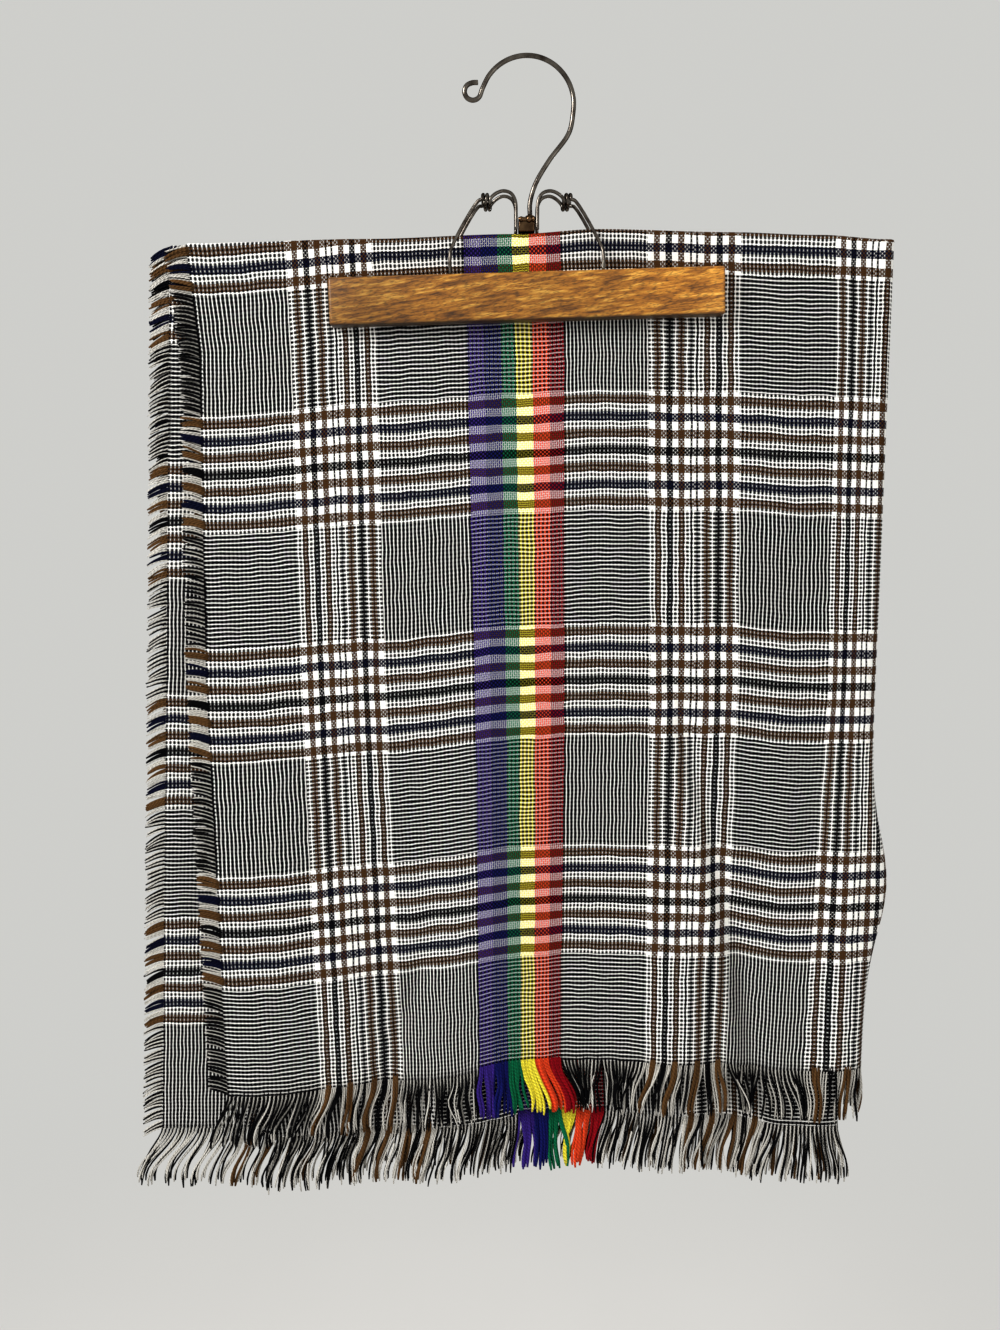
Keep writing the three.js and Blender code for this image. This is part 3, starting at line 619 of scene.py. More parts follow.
def yarn_tubes(name, paths, thickness, colours, sides=4):
    """Round yarns along paths (yarn, step, xyz), thinner at the tip, as one mesh.

    Rings of points stand square to each path, and a UV runs once round the yarn
    and in mm along it.
    """
    count, steps, _ = paths.shape
    along = np.gradient(paths, axis=1)
    along /= np.linalg.norm(along, axis=-1, keepdims=True)
    first = np.cross(along, np.array([0.13, 1.0, 0.21]))
    first /= np.linalg.norm(first, axis=-1, keepdims=True)
    second = np.cross(along, first)
    angle = np.linspace(0, 2 * math.pi, sides, endpoint=False) + math.pi / 4
    # It leaves the weave thin, fluffs out, and ends in a blunt tip.
    swelling = np.interp(np.linspace(0, 1, steps), [0, 0.2, 0.9, 1], [0.75, 1.0, 1.0, 0.6])
    radius = (thickness / 2 * random.uniform(0.85, 1.12, count))[:, None] * swelling
    radius = radius[:, :, None, None]
    ring = np.cos(angle)[:, None] * first[:, :, None] + np.sin(angle)[:, None] * second[:, :, None]
    points = (paths[:, :, None] + ring * radius).reshape(-1, 3)
    yarn_no, step_no, side_no = np.meshgrid(
        np.arange(count), np.arange(steps - 1), np.arange(sides), indexing="ij")
    corner = (yarn_no * steps + step_no) * sides
    following = (side_no + 1) % sides
    faces = np.stack([corner + side_no, corner + following, corner + sides + following,
                      corner + sides + side_no], -1).reshape(-1, 4)
    base = np.arange(count) * steps * sides
    caps = [base[:, None] + np.arange(sides)[::-1], base[:, None] + (steps - 1) * sides + np.arange(sides)]
    faces = np.concatenate([faces, *caps])
    lengths = np.cumsum(np.linalg.norm(np.diff(paths, axis=1, prepend=paths[:, :1]), axis=-1), axis=1)
    uv = np.stack(np.broadcast_arrays(
        angle / (2 * math.pi), (lengths + random.uniform(0, 9, count)[:, None])[:, :, None]), -1)
    made = new_mesh(name, points, faces, uv.reshape(-1, 2))
    paint = made.data.color_attributes.new("yarn_colour", "FLOAT_COLOR", "POINT")
    paint.data.foreach_set("color", np.repeat(colours, steps * sides, axis=0).astype(np.float32).ravel())
    return face_outward(made)


def bunches(places, spacing):
    """For each place, its bunch's number and its distance from that bunch's middle."""
    edges = np.cumsum(random.uniform(0.5, 1.6, int(places.max() / spacing) + 4) * spacing)
    edges = np.concatenate([[0.0], edges])
    number = np.clip(np.searchsorted(edges, places) - 1, 0, len(edges) - 2)
    return number, places - (edges[number] + edges[number + 1]) / 2


# How the hem yarns lean: weft place, and how far their tips lie to the right.
HEM_LEAN = {
    "front": [
        (0, -11), (30, -12), (57, -11), (70, -8), (90, -7), (110, -3), (140, -2), (170, 0),
        (186, 2), (196, 6), (206, 10), (228, 10), (243, 3), (255, 0), (275, -7), (283, -8),
        (300, -6), (315, -3), (326, 3), (335, 0), (338, 10), (352, 3), (360, -3), (368, 5),
        (386, 12), (396, 2), (415, 0), (430, -3), (500, 4), (620, -3), (740, 3), (870, -8),
    ],
    "rear": [
        (0, -14), (50, -12), (100, -10), (150, -6), (175, -3), (195, 3), (205, -4), (235, -8),
        (280, -5), (330, -7), (340, -9), (355, -3), (370, 4), (386, 8), (420, 0), (500, -6),
        (600, -8), (700, -10), (800, -14), (840, -16), (870, -19),
    ],
}


def hem_fringe(name, leg):
    """Yarns from every warp end: down from the hem, bunched, leaning and waved."""
    steps = 10
    rear = leg == "rear"
    fold_weft = REAR_FOLD_WEFT if rear else FOLD_WEFT
    number = np.arange(ENDS)
    flat = np.interp(number + 0.5, end_of(np.linspace(0, CUT_WIDTH, 2000)), np.linspace(0, CUT_WIDTH, 2000))
    spread = INNER_FREE if rear else OUTER_FREE
    half_turn = math.pi / 2 * spread * 0.95
    u = np.interp(flat, [0, fold_weft - half_turn, fold_weft + half_turn, CUT_WIDTH], [0, 1, 2, 3])
    reach = HEM_REACH[leg] * random.uniform(0.86, 1.04, ENDS)
    far = np.linspace(0, 1, steps)[None] ** 0.9
    beyond = -2.5 + (reach[:, None] + 2.5) * far
    v = 3 + beyond / REAR_LEG if rear else -beyond / FRONT_LEG
    path, _, _ = sheet(np.broadcast_to(u[:, None], v.shape), v)
    colours = colours_of(number, END_PERIOD, COLUMN_ENDS, (WARP_STRIPES, RAINBOW), lambda block: block)
    dyed = colours[:, 2] < DYED_BLUE
    dark = colours[:, :3].max(axis=1) < DARK_MOST
    bunch, aside = bunches(flat, HEM_BUNCH)
    count = bunch.max() + 1
    wefts, tips = zip(*HEM_LEAN[leg])
    lean = np.interp(flat, wefts, tips) + random.normal(0, 1.7, count)[bunch] + random.normal(0, 0.7, ENDS)
    # A few pale yarns have come loose and curl away from their bunch.
    stray = (random.random(ENDS) < 0.03) & ~dyed
    lean += np.where(stray, random.normal(0, 5, ENDS), 0)
    # In each bunch the dark yarns gather at one side and the pale ones at the other.
    lean += np.where(dark, 0.7, -0.7) * random.choice([-1, 1], count)[bunch]
    wave = random.uniform(0.3, 1.3, count)[bunch] + np.where(stray, 1.6, 0)
    phase = random.uniform(0, 2 * math.pi, count)[bunch] + random.normal(0, 0.3, ENDS)
    cycles = random.uniform(0.6, 1.2, count)[bunch]
    side = np.where(u <= 1.5, 1.0, -1.0)[:, None]
    turn = 2 * math.pi * cycles[:, None] * far + phase[:, None]
    sway = wave[:, None] * (np.sin(turn) - np.sin(phase[:, None])) * np.minimum(1, far * 2)
    swing = ease(far * 1.05)
    path[..., 0] += lean[:, None] * swing + sway - 0.35 * side * aside[:, None] * ease(far * 1.5)
    depth = random.normal(0, 0.7, ENDS) + random.normal(0, 0.7, count)[bunch]
    path[..., 1] += depth[:, None] * np.clip(far * 1.6 - 0.1, 0, 1) + 0.5 * np.cos(turn * 1.3) * far
    path[..., 1] += side * np.where(dark, -0.3, 0.3)[:, None] * ease(far * 3)
    fluffed = np.where(stray, HEM_FLUFF["stray"], HEM_FLUFF[leg])
    fluffed = np.where(dark, HEM_FLUFF["dark"], np.where(dyed, HEM_FLUFF["dyed"], fluffed))
    return yarn_tubes(name, path, HEM_YARN * fluffed, colours)


def side_fringe(name, back):
    """Yarns from every weft end: out from the side edge, slanted and laid in rows."""
    steps = 6
    number = np.arange(PICKS)
    table = np.linspace(0, CUT_LENGTH, 2000)
    flat = np.interp(number + 0.5, pick_of(table, 0.0, 1.0 if back else 0.0), table)
    v = np.interp(flat, [0, FRONT_LEG - 3, FRONT_LEG + 3, CUT_LENGTH], [0, 1, 2, 3])
    reach = SIDE_REACH * random.uniform(0.88, 1.04, PICKS)
    far = np.linspace(0, 1, steps)[None]
    beyond = -2.0 + (reach[:, None] + 2.0) * far
    u = 3 + beyond / (CUT_WIDTH - FOLD_WEFT) if back else -beyond / FOLD_WEFT
    path, _, _ = sheet(u, np.broadcast_to(v[:, None], u.shape))
    bunch, aside = bunches(flat, SIDE_BUNCH)
    count = bunch.max() + 1
    up = np.where(flat > FRONT_LEG, -1.0, 1.0)
    # The front edge's yarns slant up to the left and the back edge's hang down, so
    # they meet as a row of arrows. All of them droop over the top fold.
    fold = np.exp(-(((flat - FRONT_LEG) / 16) ** 2))
    slant = -5.5 - 2.0 * fold if back else 3.0 - 9.0 * fold
    slant = slant + random.normal(0, 0.9, count)[bunch] + random.normal(0, 0.3, PICKS)
    bow = np.sin(math.pi * far) * random.normal(0.8, 0.3, count)[bunch][:, None]
    path[..., 2] += slant[:, None] * far**1.2 + bow - 0.25 * (aside * up)[:, None] * far
    path[..., 1] += random.normal(0, 0.5, count)[bunch][:, None] * far
    colours = colours_of(number, PICK_PERIOD, ROW_PICKS, (WEFT_STRIPES,), lambda b: b - (b > 3))
    dyed = colours[:, 2] < DYED_BLUE
    outward = 1.0 if back else -1.0
    # Pale yarns lie a little under the dyed ones, and deepest where they are matted.
    in_row = number % PICK_PERIOD < ROW_PICKS
    matted = in_row & (np.abs(flat - FRONT_LEG) < MATTED_RUN)
    pale_stand = np.where(matted, SIDE_STAND["matted"], SIDE_STAND["pale"])
    path[..., 1] += outward * np.where(dyed, SIDE_STAND["dyed"], pale_stand)[:, None]
    dyed_fluff = np.where(in_row & ~matted, SIDE_FLUFF["dyed_in_row"], SIDE_FLUFF["dyed"])
    pale_fluff = np.where(matted, SIDE_FLUFF["matted"], SIDE_FLUFF["pale"])
    fluffed = np.where(dyed, dyed_fluff, pale_fluff)
    return yarn_tubes(name, path, SIDE_YARN * fluffed, colours)


fringes = {
    "front_hem_fringe": hem_fringe("front_hem_yarns", "front"),
    "rear_hem_fringe": hem_fringe("rear_hem_yarns", "rear"),
    "front_side_fringe": side_fringe("front_side_yarns", False),
    "back_side_fringe": side_fringe("back_side_yarns", True),
}

# Two-ply yarn, soft and fluffy once it is loose. The plies wind once in 2.6 mm.
yarn_finish, tree = new_material("acrylic_two_ply_yarn")
around = add(tree, "SeparateXYZ", add(tree, "UVMap", uv_map="threads"), out=None)
wound = add(tree, "Math", around.outputs[1], 1 / 2.6, operation="MULTIPLY")
ply_phase = add(tree, "Math", add(tree, "Math", around.outputs[0], 2.0, operation="MULTIPLY"), wound,
                operation="ADD")
ply = add(tree, "Math", add(tree, "Math", ply_phase, 2 * math.pi, operation="MULTIPLY"), operation="SINE")
coords = add(tree, "TexCoord", out="Object")
fluff = add(tree, "TexNoise", named={"Vector": coords, "Scale": 1500.0, "Detail": 2.0}, out="Fac")
# The grooves between the plies are darkened: painted shade. The fluff noise is a random tone.
ply_shade = add(tree, "MapRange", ply, -1.0, 1.0, 0.7, 1.05)
fluff_shade = add(tree, "MapRange", fluff, 0.3, 0.7, 0.88, 1.1)
both = add(tree, "Math", ply_shade, fluff_shade, operation="MULTIPLY")
dyed = add(tree, "Attribute", attribute_name="yarn_colour", out="Color")
shaded = add(tree, "VectorMath", dyed, named={"Scale": both}, operation="SCALE")
relief = add(tree, "Bump", named={"Strength": 0.6, "Distance": 0.0003, "Height": ply})
shader = add(tree, "BsdfPrincipled", named={
    "Base Color": shaded, "Roughness": 0.9, "Normal": relief, "IOR": 1.47,
    "Specular IOR Level": 0.12,
})
add(tree, "OutputMaterial", shader, out=None)
for node, yarns in fringes.items():
    yarns.data.materials.append(yarn_finish)
    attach(yarns, "root")
    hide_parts(node)

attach(cloth, "root")
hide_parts("shawl_cloth")

# ---------------------------------------------------------------- the two bars
# Sawn softwood bars with rounded edges under a honey varnish. Springs press them
# on the cloth, and they hang a little askew.
WOOD = {"light": "#B47C28", "mid": "#96611A", "dark": "#5A360A", "fleck": "#DEAC50"}
CORNER_STEPS = 6


def ring_quads(count, sides, capped):
    """Quads from ring to ring of points, and strips across both end rings if capped."""
    index = np.arange(count * sides).reshape(count, sides)
    shifted = np.roll(index, -1, axis=1)
    faces = [np.stack([index[:-1], index[1:], shifted[1:], shifted[:-1]], -1).reshape(-1, 4)]
    half = sides // 2
    for ring, flip in ((index[0], False), (index[-1], True)) if capped else ():
        strip = np.stack([ring[:half - 1], ring[1:half], ring[::-1][1:half], ring[::-1][:half - 1]], -1)
        faces.append(strip[:, ::-1] if flip else strip)
    return np.concatenate(faces)


def rounded_bar(length, depth, height, radius):
    """A box with rounded edges, lengthwise on X.

    The section is a rectangle with quarter-circle corners. At both ends it draws
    in by radius * (1 - cos), as the end advances by radius * sin.
    """
    quarter = np.linspace(0, math.pi / 2, CORNER_STEPS)
    corner = np.concatenate([quarter + k * math.pi / 2 for k in range(4)])
    sign_y = np.repeat([1, -1, -1, 1], CORNER_STEPS)
    sign_z = np.repeat([1, 1, -1, -1], CORNER_STEPS)
    rings = []
    ends = [(-1, a) for a in quarter[::-1]] + [(1, a) for a in quarter]
    for end_side, a in ends:
        x = end_side * (length / 2 - radius + radius * math.sin(a))
        r = radius * math.cos(a)
        y = sign_y * (depth / 2 - radius) + r * np.cos(corner)
        z = sign_z * (height / 2 - radius) + r * np.sin(corner)
        rings.append(np.stack([np.full_like(y, x), y, z], -1))
    middle_rings = [rings[CORNER_STEPS - 1] * (1 - f) + rings[CORNER_STEPS] * f for f in
                    np.linspace(0, 1, 13)[1:-1]]
    rings = np.array(rings[:CORNER_STEPS] + middle_rings + rings[CORNER_STEPS:])
    return rings.reshape(-1, 3), ring_quads(*rings.shape[:2], capped=True)


def turned_and_placed(points, tilt, y, z):
    """Points turned about Y by tilt degrees, the right end up, and moved."""
    t = math.radians(tilt)
    turned_x = points[:, 0] * math.cos(t) - points[:, 2] * math.sin(t)
    turned_z = points[:, 0] * math.sin(t) + points[:, 2] * math.cos(t)
    return np.stack([turned_x, points[:, 1] + y, turned_z + z], -1)


bars = []
for node, side in (("front_bar", -1), ("rear_bar", 1)):
    points, faces = rounded_bar(BAR["length"], BAR["depth"], BAR["height"], BAR["round"])
    points = turned_and_placed(points, BAR["tilt"], side * (BAR_FACE + BAR["depth"] / 2), BAR["z"])
    bar = face_outward(new_mesh(node + "_wood", points, faces))
    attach(bar, "root")
    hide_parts(node)
    bars.append(bar)

# Varnished softwood: the grain runs along the bar at a slight slant, with fine
# pores and pale flecks, and the varnish gives a soft, even gloss.
wood_finish, tree = new_material("honey_varnished_wood")
coords = add(tree, "TexCoord", out="Object")
grain_space = add(tree, "Mapping", coords, vector_type="TEXTURE", named={
    "Rotation": (0.0, math.radians(-8.0), 0.0), "Scale": (9.0, 1.0, 1.0)})
growth = add(tree, "TexNoise", named={"Vector": grain_space, "Scale": 560.0, "Detail": 3.0,
                                      "Roughness": 0.6, "Distortion": 0.3}, out="Fac")
broad = add(tree, "TexNoise", named={"Vector": coords, "Scale": 26.0, "Detail": 2.0}, out="Fac")
pore_space = add(tree, "Mapping", coords, vector_type="TEXTURE", named={
    "Rotation": (0.0, math.radians(-13.0), 0.0), "Scale": (5.0, 1.0, 1.0)})
pores = add(tree, "TexNoise", named={"Vector": pore_space, "Scale": 1400.0, "Detail": 2.0}, out="Fac")
grain = add(tree, "ValToRGB", growth, stops=[
    (0.30, WOOD["dark"]), (0.44, WOOD["mid"]), (0.56, WOOD["light"]), (0.70, WOOD["fleck"])])
pore_mask = add(tree, "MapRange", pores, 0.5, 0.62, 0.0, 0.85)
dark_grain = add(tree, "VectorMath", grain, named={"Scale": 0.42}, operation="SCALE")
pored = add(tree, "Mix", named={0: pore_mask, 6: grain, 7: dark_grain}, out=2, data_type="RGBA")
patch = add(tree, "MapRange", broad, 0.3, 0.7, 0.85, 1.12)
# The bars get paler from the left end to the right, and faces that look down are darkened by painted shade.
END_TONES, PAINTED_UNDERSIDE_SHADE = (0.64, 1.22), 0.22
along_bar = add(tree, "SeparateXYZ", coords, out=None)
half_bar = BAR["length"] / 2 * MM
paler = add(tree, "MapRange", along_bar.outputs[0], -half_bar, half_bar, *END_TONES)
tone_and_painted_shade = add(tree, "Math", patch, paler, operation="MULTIPLY")
facing = add(tree, "SeparateXYZ", add(tree, "NewGeometry", out="Normal"), out=None)
# Painted shade on the bars' undersides, by how far each face looks down.
painted_underside_shade = add(tree, "MapRange", facing.outputs[2], -0.9, -0.15, PAINTED_UNDERSIDE_SHADE, 1.0)
tone_and_painted_shade = add(tree, "Math", tone_and_painted_shade, painted_underside_shade, operation="MULTIPLY")
varnished = add(tree, "VectorMath", pored, named={"Scale": tone_and_painted_shade}, operation="SCALE")
relief = add(tree, "Bump", named={"Strength": 0.25, "Distance": 0.0003, "Height": growth})
shader = add(tree, "BsdfPrincipled", named={
    "Base Color": varnished, "Roughness": 0.45, "Normal": relief, "IOR": 1.5,
    "Coat Weight": 0.35, "Coat Roughness": 0.28,
})
add(tree, "OutputMaterial", shader, out=None)
for bar in bars:
    bar.data.materials.append(wood_finish)

# ------------------------------------------------------- the hook and the springs
# Nickel-plated steel wire, 2.9 mm in the hook and 2.1 mm in the springs. Each
# spring goes from the bracket over an arch, twice round a coil, and down to a bar.
HOOK = {"wire": 2.9, "radius": 28.4, "crown_z": 1.45, "curl": 5.0, "curl_x": -32.6, "curl_z": -19.2,
        "stem_x": 2.1, "stem_z": -91.2}
SPRING = {"wire": 2.1, "stem_x": 6.5, "arch_x": 14.0, "coil_x": 22.0, "coil_z": -83.5, "turns": 2,
          "coil_radius": 3.2, "turn_gap": 0.35, "leg_x": 46.5}
BRACKET = {"width": 10.2, "depth": 11.0, "top": -93.2, "bottom": -101.6, "round": 1.1}
DOME = 0.25               # how far the dome on a wire's end stands out


def arc_points(x, z, radius, start, end, count):
    """Points of an arc in the XZ plane, from one angle to another in degrees."""
    angle = np.radians(np.linspace(start, end, count + 1))
    return np.stack([x + radius * np.cos(angle), np.zeros_like(angle), z + radius * np.sin(angle)], -1)


def smooth_path(points, per_span):
    """A centripetal Catmull-Rom curve through the points, its ends mirrored on."""
    points = np.asarray(points, dtype=float)
    p = np.vstack([2 * points[0] - points[1], points, 2 * points[-1] - points[-2]])
    knot = np.concatenate([[0], np.cumsum(np.sqrt(np.linalg.norm(np.diff(p, axis=0), axis=1)))])
    curve = []
    for i in range(1, len(p) - 2):
        t = np.linspace(knot[i], knot[i + 1], per_span, endpoint=False)[:, None]
        k0, k1, k2, k3 = knot[i - 1:i + 3]
        a1 = ((k1 - t) * p[i - 1] + (t - k0) * p[i]) / (k1 - k0)
        a2 = ((k2 - t) * p[i] + (t - k1) * p[i + 1]) / (k2 - k1)
        a3 = ((k3 - t) * p[i + 1] + (t - k2) * p[i + 2]) / (k3 - k2)
        b1 = ((k2 - t) * a1 + (t - k0) * a2) / (k2 - k0)
        b2 = ((k3 - t) * a2 + (t - k1) * a3) / (k3 - k1)
        curve.append(((k2 - t) * b1 + (t - k1) * b2) / (k2 - k1))
    return np.vstack([*curve, points[-1:]])


def wire(name, path, diameter, sides=14):
    """A round wire along a path, with a frame carried on from ring to ring."""
    along = np.gradient(path, axis=0)
    along /= np.linalg.norm(along, axis=1, keepdims=True)
    first = np.empty_like(path)
    carried = np.cross(along[0], [0.0, 1.0, 0.3])
    for i, tangent in enumerate(along):
        carried = carried - tangent * carried.dot(tangent)
        carried /= np.linalg.norm(carried)
        first[i] = carried
    second = np.cross(along, first)
    angle = np.linspace(0, 2 * math.pi, sides, endpoint=False)
    ring = np.cos(angle)[:, None] * first[:, None] + np.sin(angle)[:, None] * second[:, None]
    body = path[:, None] + ring * diameter / 2
    # The ends are domed by two smaller rings.
    domes = []
    for row, way in ((0, -1), (-1, 1)):
        for a in (math.radians(45), math.radians(80)):
            centre = path[row] + way * along[row] * math.sin(a) * DOME
            domes.append(centre + ring[row] * diameter / 2 * math.cos(a))
    rings = np.vstack([[domes[1]], [domes[0]], body, [domes[2]], [domes[3]]])
    return face_outward(new_mesh(name, rings.reshape(-1, 3), ring_quads(len(rings), sides, capped=True)))


def hook_path():
    """A curl, a round crown over the origin, and a swept stem."""
    stem = np.array([
        [25.5, 0, -43.2], [13.5, 0, -59.3], [5.3, 0, -73.0],
        [HOOK["stem_x"], 0, -84.0], [HOOK["stem_x"], 0, HOOK["stem_z"]],
    ])
    tip = [[HOOK["curl_x"] + 3.0, 0, HOOK["curl_z"] + HOOK["curl"] + 0.2]]
    curl = arc_points(HOOK["curl_x"], HOOK["curl_z"], HOOK["curl"], 95, 315, 5)
    crown = arc_points(0, HOOK["crown_z"] - HOOK["radius"], HOOK["radius"], 160, -10, 10)
    return smooth_path(np.vstack([tip, curl, crown, stem]), 9)


def bar_top(x):
    """Height of a bar's top edge: a straight line through its middle, at its tilt."""
    return BAR["z"] + BAR["height"] / 2 + x * math.tan(math.radians(BAR["tilt"]))


def spring_path(right, face):
    """Up from the bracket, over the arch, round the coil about X, and down the leg."""
    arch_y, coil_y, leg_y = 6.0, 4.7, BAR_FACE + BAR["depth"] / 2
    x0 = SPRING["stem_x"]
    start = [
        [x0, arch_y, BRACKET["bottom"] + 0.8], [x0, arch_y, -92.0], [x0 + 0.5, arch_y, -84.0],
        [9.5, arch_y, -79.8], [SPRING["arch_x"], arch_y, -78.4], [18.5, arch_y + 1.0, -80.0],
    ]
    turn = np.linspace(0, 2 * math.pi * SPRING["turns"], 8 * SPRING["turns"] + 1)
    pitch = SPRING["wire"] + SPRING["turn_gap"]
    coil = np.stack([
        SPRING["coil_x"] + pitch * turn / (2 * math.pi),
        coil_y + SPRING["coil_radius"] * np.cos(turn),
        SPRING["coil_z"] - SPRING["coil_radius"] * np.sin(turn),
    ], -1)
    leg = [
        [29.5, arch_y + 0.6, -84.5], [45.2, 8.0, -111.0], [SPRING["leg_x"], leg_y, -116.0],
        [SPRING["leg_x"], leg_y, bar_top(right * SPRING["leg_x"]) + BAR_GAP],
    ]
    return smooth_path(np.vstack([start, coil, leg]) * [right, face, 1], 6)


metal = {"hook": wire("hook_wire", hook_path(), HOOK["wire"], 18)}
for name, right, face in (("front_left_spring", -1, -1), ("front_right_spring", 1, -1),
                          ("rear_left_spring", -1, 1), ("rear_right_spring", 1, 1)):
    metal[name] = wire(name + "_wire", spring_path(right, face), SPRING["wire"])

# ------------------------------------------------------------------- the bracket
# A small saddle pressed from plated sheet, which holds the springs and the hook's
# stem. A riveted cross pin with beads goes across it, and a collar is round the stem.
def turned_piece(profile, sides, centre, axis):
    """A lathe turning of (radius, height) rows about X or Z, as points and quads."""
    angle = np.linspace(0, 2 * math.pi, sides, endpoint=False)
    radius, height = np.array(profile).T
    a = radius[:, None] * np.cos(angle)
    b = radius[:, None] * np.sin(angle)
    h = np.broadcast_to(height[:, None], a.shape)
    points = np.stack([a, b, h] if axis == "z" else [h, a, b], -1).reshape(-1, 3) + centre
    return points, ring_quads(len(profile), sides, capped=False)


def join(name, parts):
    """One mesh of several closed parts, given as (points, quads)."""
    offset, points, faces = 0, [], []
    for part_points, part_faces in parts:
        points.append(part_points)
        faces.append(part_faces + offset)
        offset += len(part_points)
    return new_mesh(name, np.vstack(points), np.vstack(faces))


saddle_height = BRACKET["top"] - BRACKET["bottom"]
saddle, saddle_faces = rounded_bar(BRACKET["width"], BRACKET["depth"], saddle_height, BRACKET["round"])
bead = [(0.01, -2.1), (0.9, -1.9), (1.6, -1.35), (2.0, -0.65), (2.1, 0.0), (2.0, 0.65), (1.6, 1.35),
        (0.9, 1.9), (0.01, 2.1)]
pin = [(0.01, -5.1), (1.1, -5.1), (1.3, -4.9), (1.3, 4.9), (1.1, 5.1), (0.01, 5.1)]
collar = [(0.01, -1.3), (3.1, -1.3), (3.2, -1.0), (2.7, 1.1), (2.4, 1.3), (0.01, 1.3)]
pin_centre = np.array([0.0, -BRACKET["depth"] / 2, BRACKET["top"] - 1.5])
metal["bracket"] = join("bracket_saddle", [
    (saddle + [0, 0, (BRACKET["top"] + BRACKET["bottom"]) / 2], saddle_faces),
    turned_piece(pin, 16, pin_centre, "x"),
    turned_piece([(0.8 * r, 0.8 * h) for r, h in bead], 16, pin_centre + [-3.3, 0, 0], "x"),
    turned_piece(bead, 16, pin_centre + [1.4, 0, 0], "x"),
    turned_piece([(0.9 * r, 0.6 * h) for r, h in bead], 16, pin_centre + [4.2, 0, 0], "x"),
    turned_piece(collar, 20, [HOOK["stem_x"], 0, HOOK["stem_z"] - 1.6], "z"),
])

# Nickel plate on the wires, its tint darkened as painted reflection of dark
# surroundings and dulled here and there by handling, and a browner plate on the
# bracket. The near-black specular tint darkens their edges: painted dark reflection.
plates = {}
for name, tints in (("nickel_plate_painted_dark", ("#7A746C", "#56504A", "#342C24")),
                    ("worn_brass_plate", ("#7A6248", "#564230", "#2C2018"))):
    plates[name], tree = new_material(name)
    coords = add(tree, "TexCoord", out="Object")
    handling = add(tree, "TexNoise", named={"Vector": coords, "Scale": 160.0, "Detail": 4.0}, out="Fac")
    dulled = add(tree, "MapRange", handling, 0.35, 0.75, 0.12, 0.24)
    tint = add(tree, "ValToRGB", handling, stops=list(zip((0.35, 0.6, 0.8), tints)))
    relief = add(tree, "Bump", named={"Strength": 0.08, "Distance": 0.0002, "Height": handling})
    shader = add(tree, "BsdfPrincipled", named={
        "Base Color": tint, "Metallic": 1.0, "Roughness": dulled, "Normal": relief,
        # Painted dark reflection at the edges.
        "Specular Tint": linear("#1C1A18"),
    })
    add(tree, "OutputMaterial", shader, out=None)
for node, piece in metal.items():
    piece.data.materials.append(plates["worn_brass_plate" if node == "bracket" else "nickel_plate_painted_dark"])
    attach(piece, "root")
    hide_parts(node)

# ------------------------------------------------------------------- the studio
# A pale floor well below the hanging cloth, a pale surround, and soft light from
# the front and the upper left, with a weaker fill from the right.
FLOOR_Z = -1.7
SURROUND = "#E5E5E2"
GLOW = 0.87
floor = new_mesh("studio_floor", np.array([
    [-9000, -9000, FLOOR_Z / MM], [9000, -9000, FLOOR_Z / MM], [9000, 9000, FLOOR_Z / MM],
    [-9000, 9000, FLOOR_Z / MM]]), np.array([[0, 1, 2, 3]]), smooth=False)
floor_finish, tree = new_material("matte_pale_floor")
speckle = add(tree, "TexNoise", named={"Vector": add(tree, "TexCoord", out="Object"), "Scale": 3.0},
              out="Fac")
floor_tone = add(tree, "ValToRGB", speckle, stops=[(0.3, "#DFDDDB"), (0.7, "#E1DFDD")])
matte = add(tree, "BsdfPrincipled", named={"Base Color": floor_tone, "Roughness": 0.9})
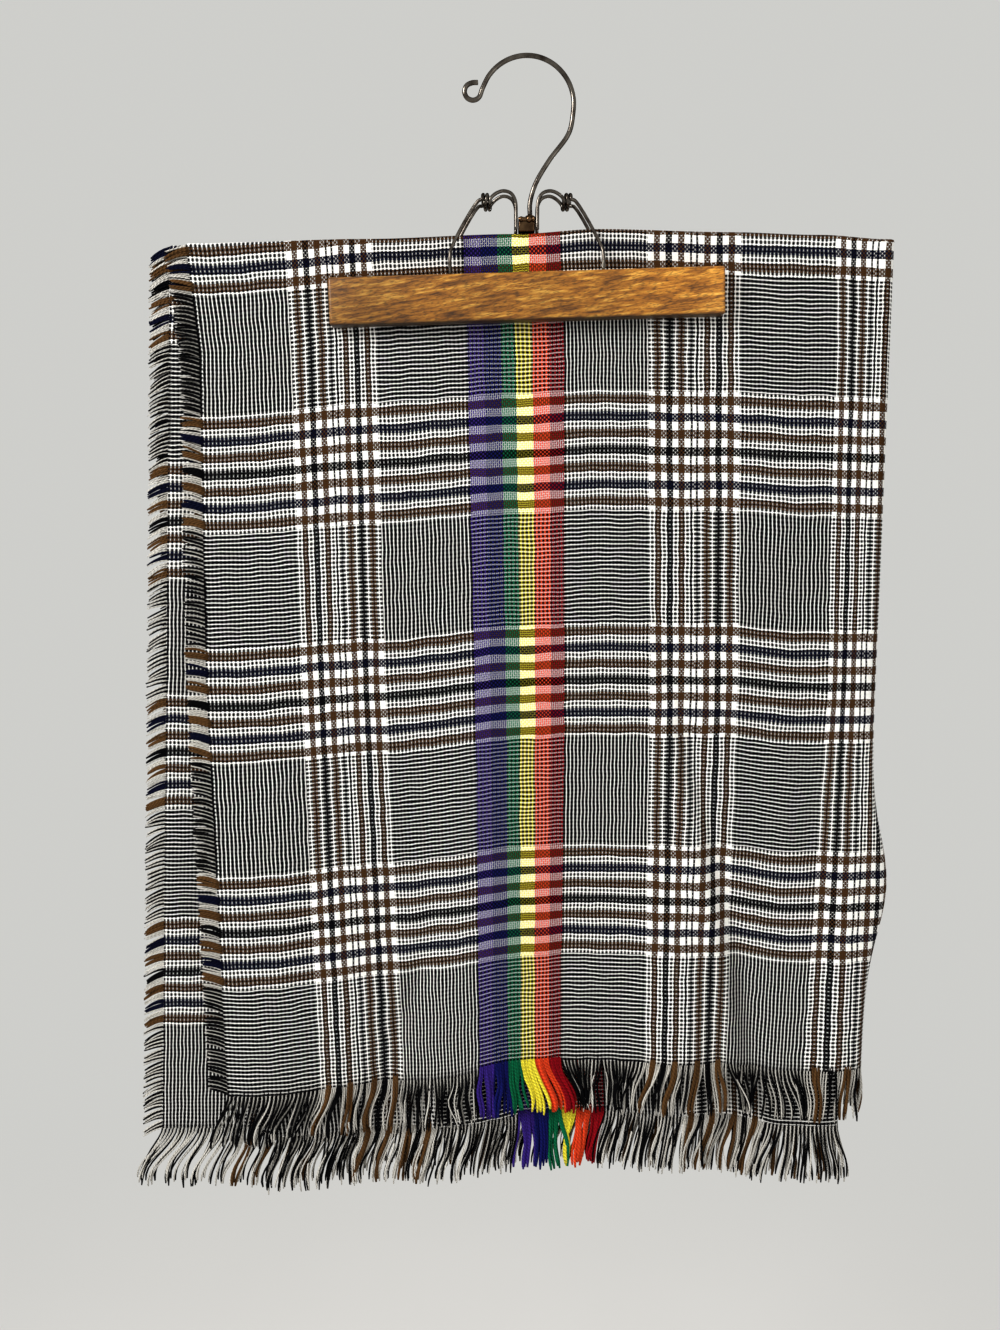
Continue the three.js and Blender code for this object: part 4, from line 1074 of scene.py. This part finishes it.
# Away from the middle the floor melts into the surround, so no horizon shows.
distance = add(tree, "VectorMath", add(tree, "TexCoord", out="Object"), (1.0, 1.0, 0.0),
               operation="MULTIPLY")
distance = add(tree, "VectorMath", distance, out="Value", operation="LENGTH")
melted = add(tree, "MapRange", distance, 0.6, 2.4, 0.0, 1.0, interpolation_type="SMOOTHSTEP")
beyond = add(tree, "Emission", linear(SURROUND), GLOW)
shader = add(tree, "MixShader", melted, matte, beyond)
add(tree, "OutputMaterial", shader, out=None)
floor.data.materials.append(floor_finish)

world = bpy.data.worlds.new("pale_surround")
bpy.context.scene.world = world
world.use_nodes = True
world.node_tree.nodes.clear()
glow = add(world.node_tree, "Background", linear(SURROUND), GLOW)
add(world.node_tree, "OutputWorld", glow, out=None)

LIGHTS = [
    # name, place in m, size in m, power in W
    ("key_light", (-1.5, -1.3, 0.7), 0.9, 44.0),
    ("fill_light", (1.4, -1.7, -0.2), 1.6, 6.0),
    ("back_light", (0.6, 1.8, 0.5), 1.4, 14.0),
]
AIM = (0.0, 0.0, -0.36)
for name, place, size, power in LIGHTS:
    lamp = bpy.data.lights.new(name, "AREA")
    lamp.size = size
    lamp.energy = power
    holder = bpy.data.objects.new(name, lamp)
    bpy.context.collection.objects.link(holder)
    holder.location = place
    toward = [AIM[k] - place[k] for k in range(3)]
    holder.rotation_euler = (
        math.acos(-toward[2] / math.hypot(*toward)), 0.0, math.atan2(toward[0], -toward[1]) + math.pi)

# The camera stands 750 mm in front of the clamp, a little above the cloth's middle,
# and looks down by 7 degrees. Its focal length is 1182 pixels of 1330.
CAMERA = {"place": (-0.0162, -0.750, -0.2758), "tilt": 7.0, "focal": 1181.7, "frame": 1330.0, "sensor": 36.0}
camera_data = bpy.data.cameras.new("camera")
camera_data.sensor_width = CAMERA["sensor"]
camera_data.lens = CAMERA["sensor"] * CAMERA["focal"] / CAMERA["frame"]
camera = bpy.data.objects.new("camera", camera_data)
bpy.context.collection.objects.link(camera)
camera.location = CAMERA["place"]
camera.rotation_euler = (math.radians(90.0 - CAMERA["tilt"]), 0.0, 0.0)
bpy.context.scene.camera = camera
# The gamma darkens the middle tones of the picture. It isn't part of any material.
bpy.context.scene.view_settings.view_transform = "Standard"
bpy.context.scene.view_settings.gamma = 0.8
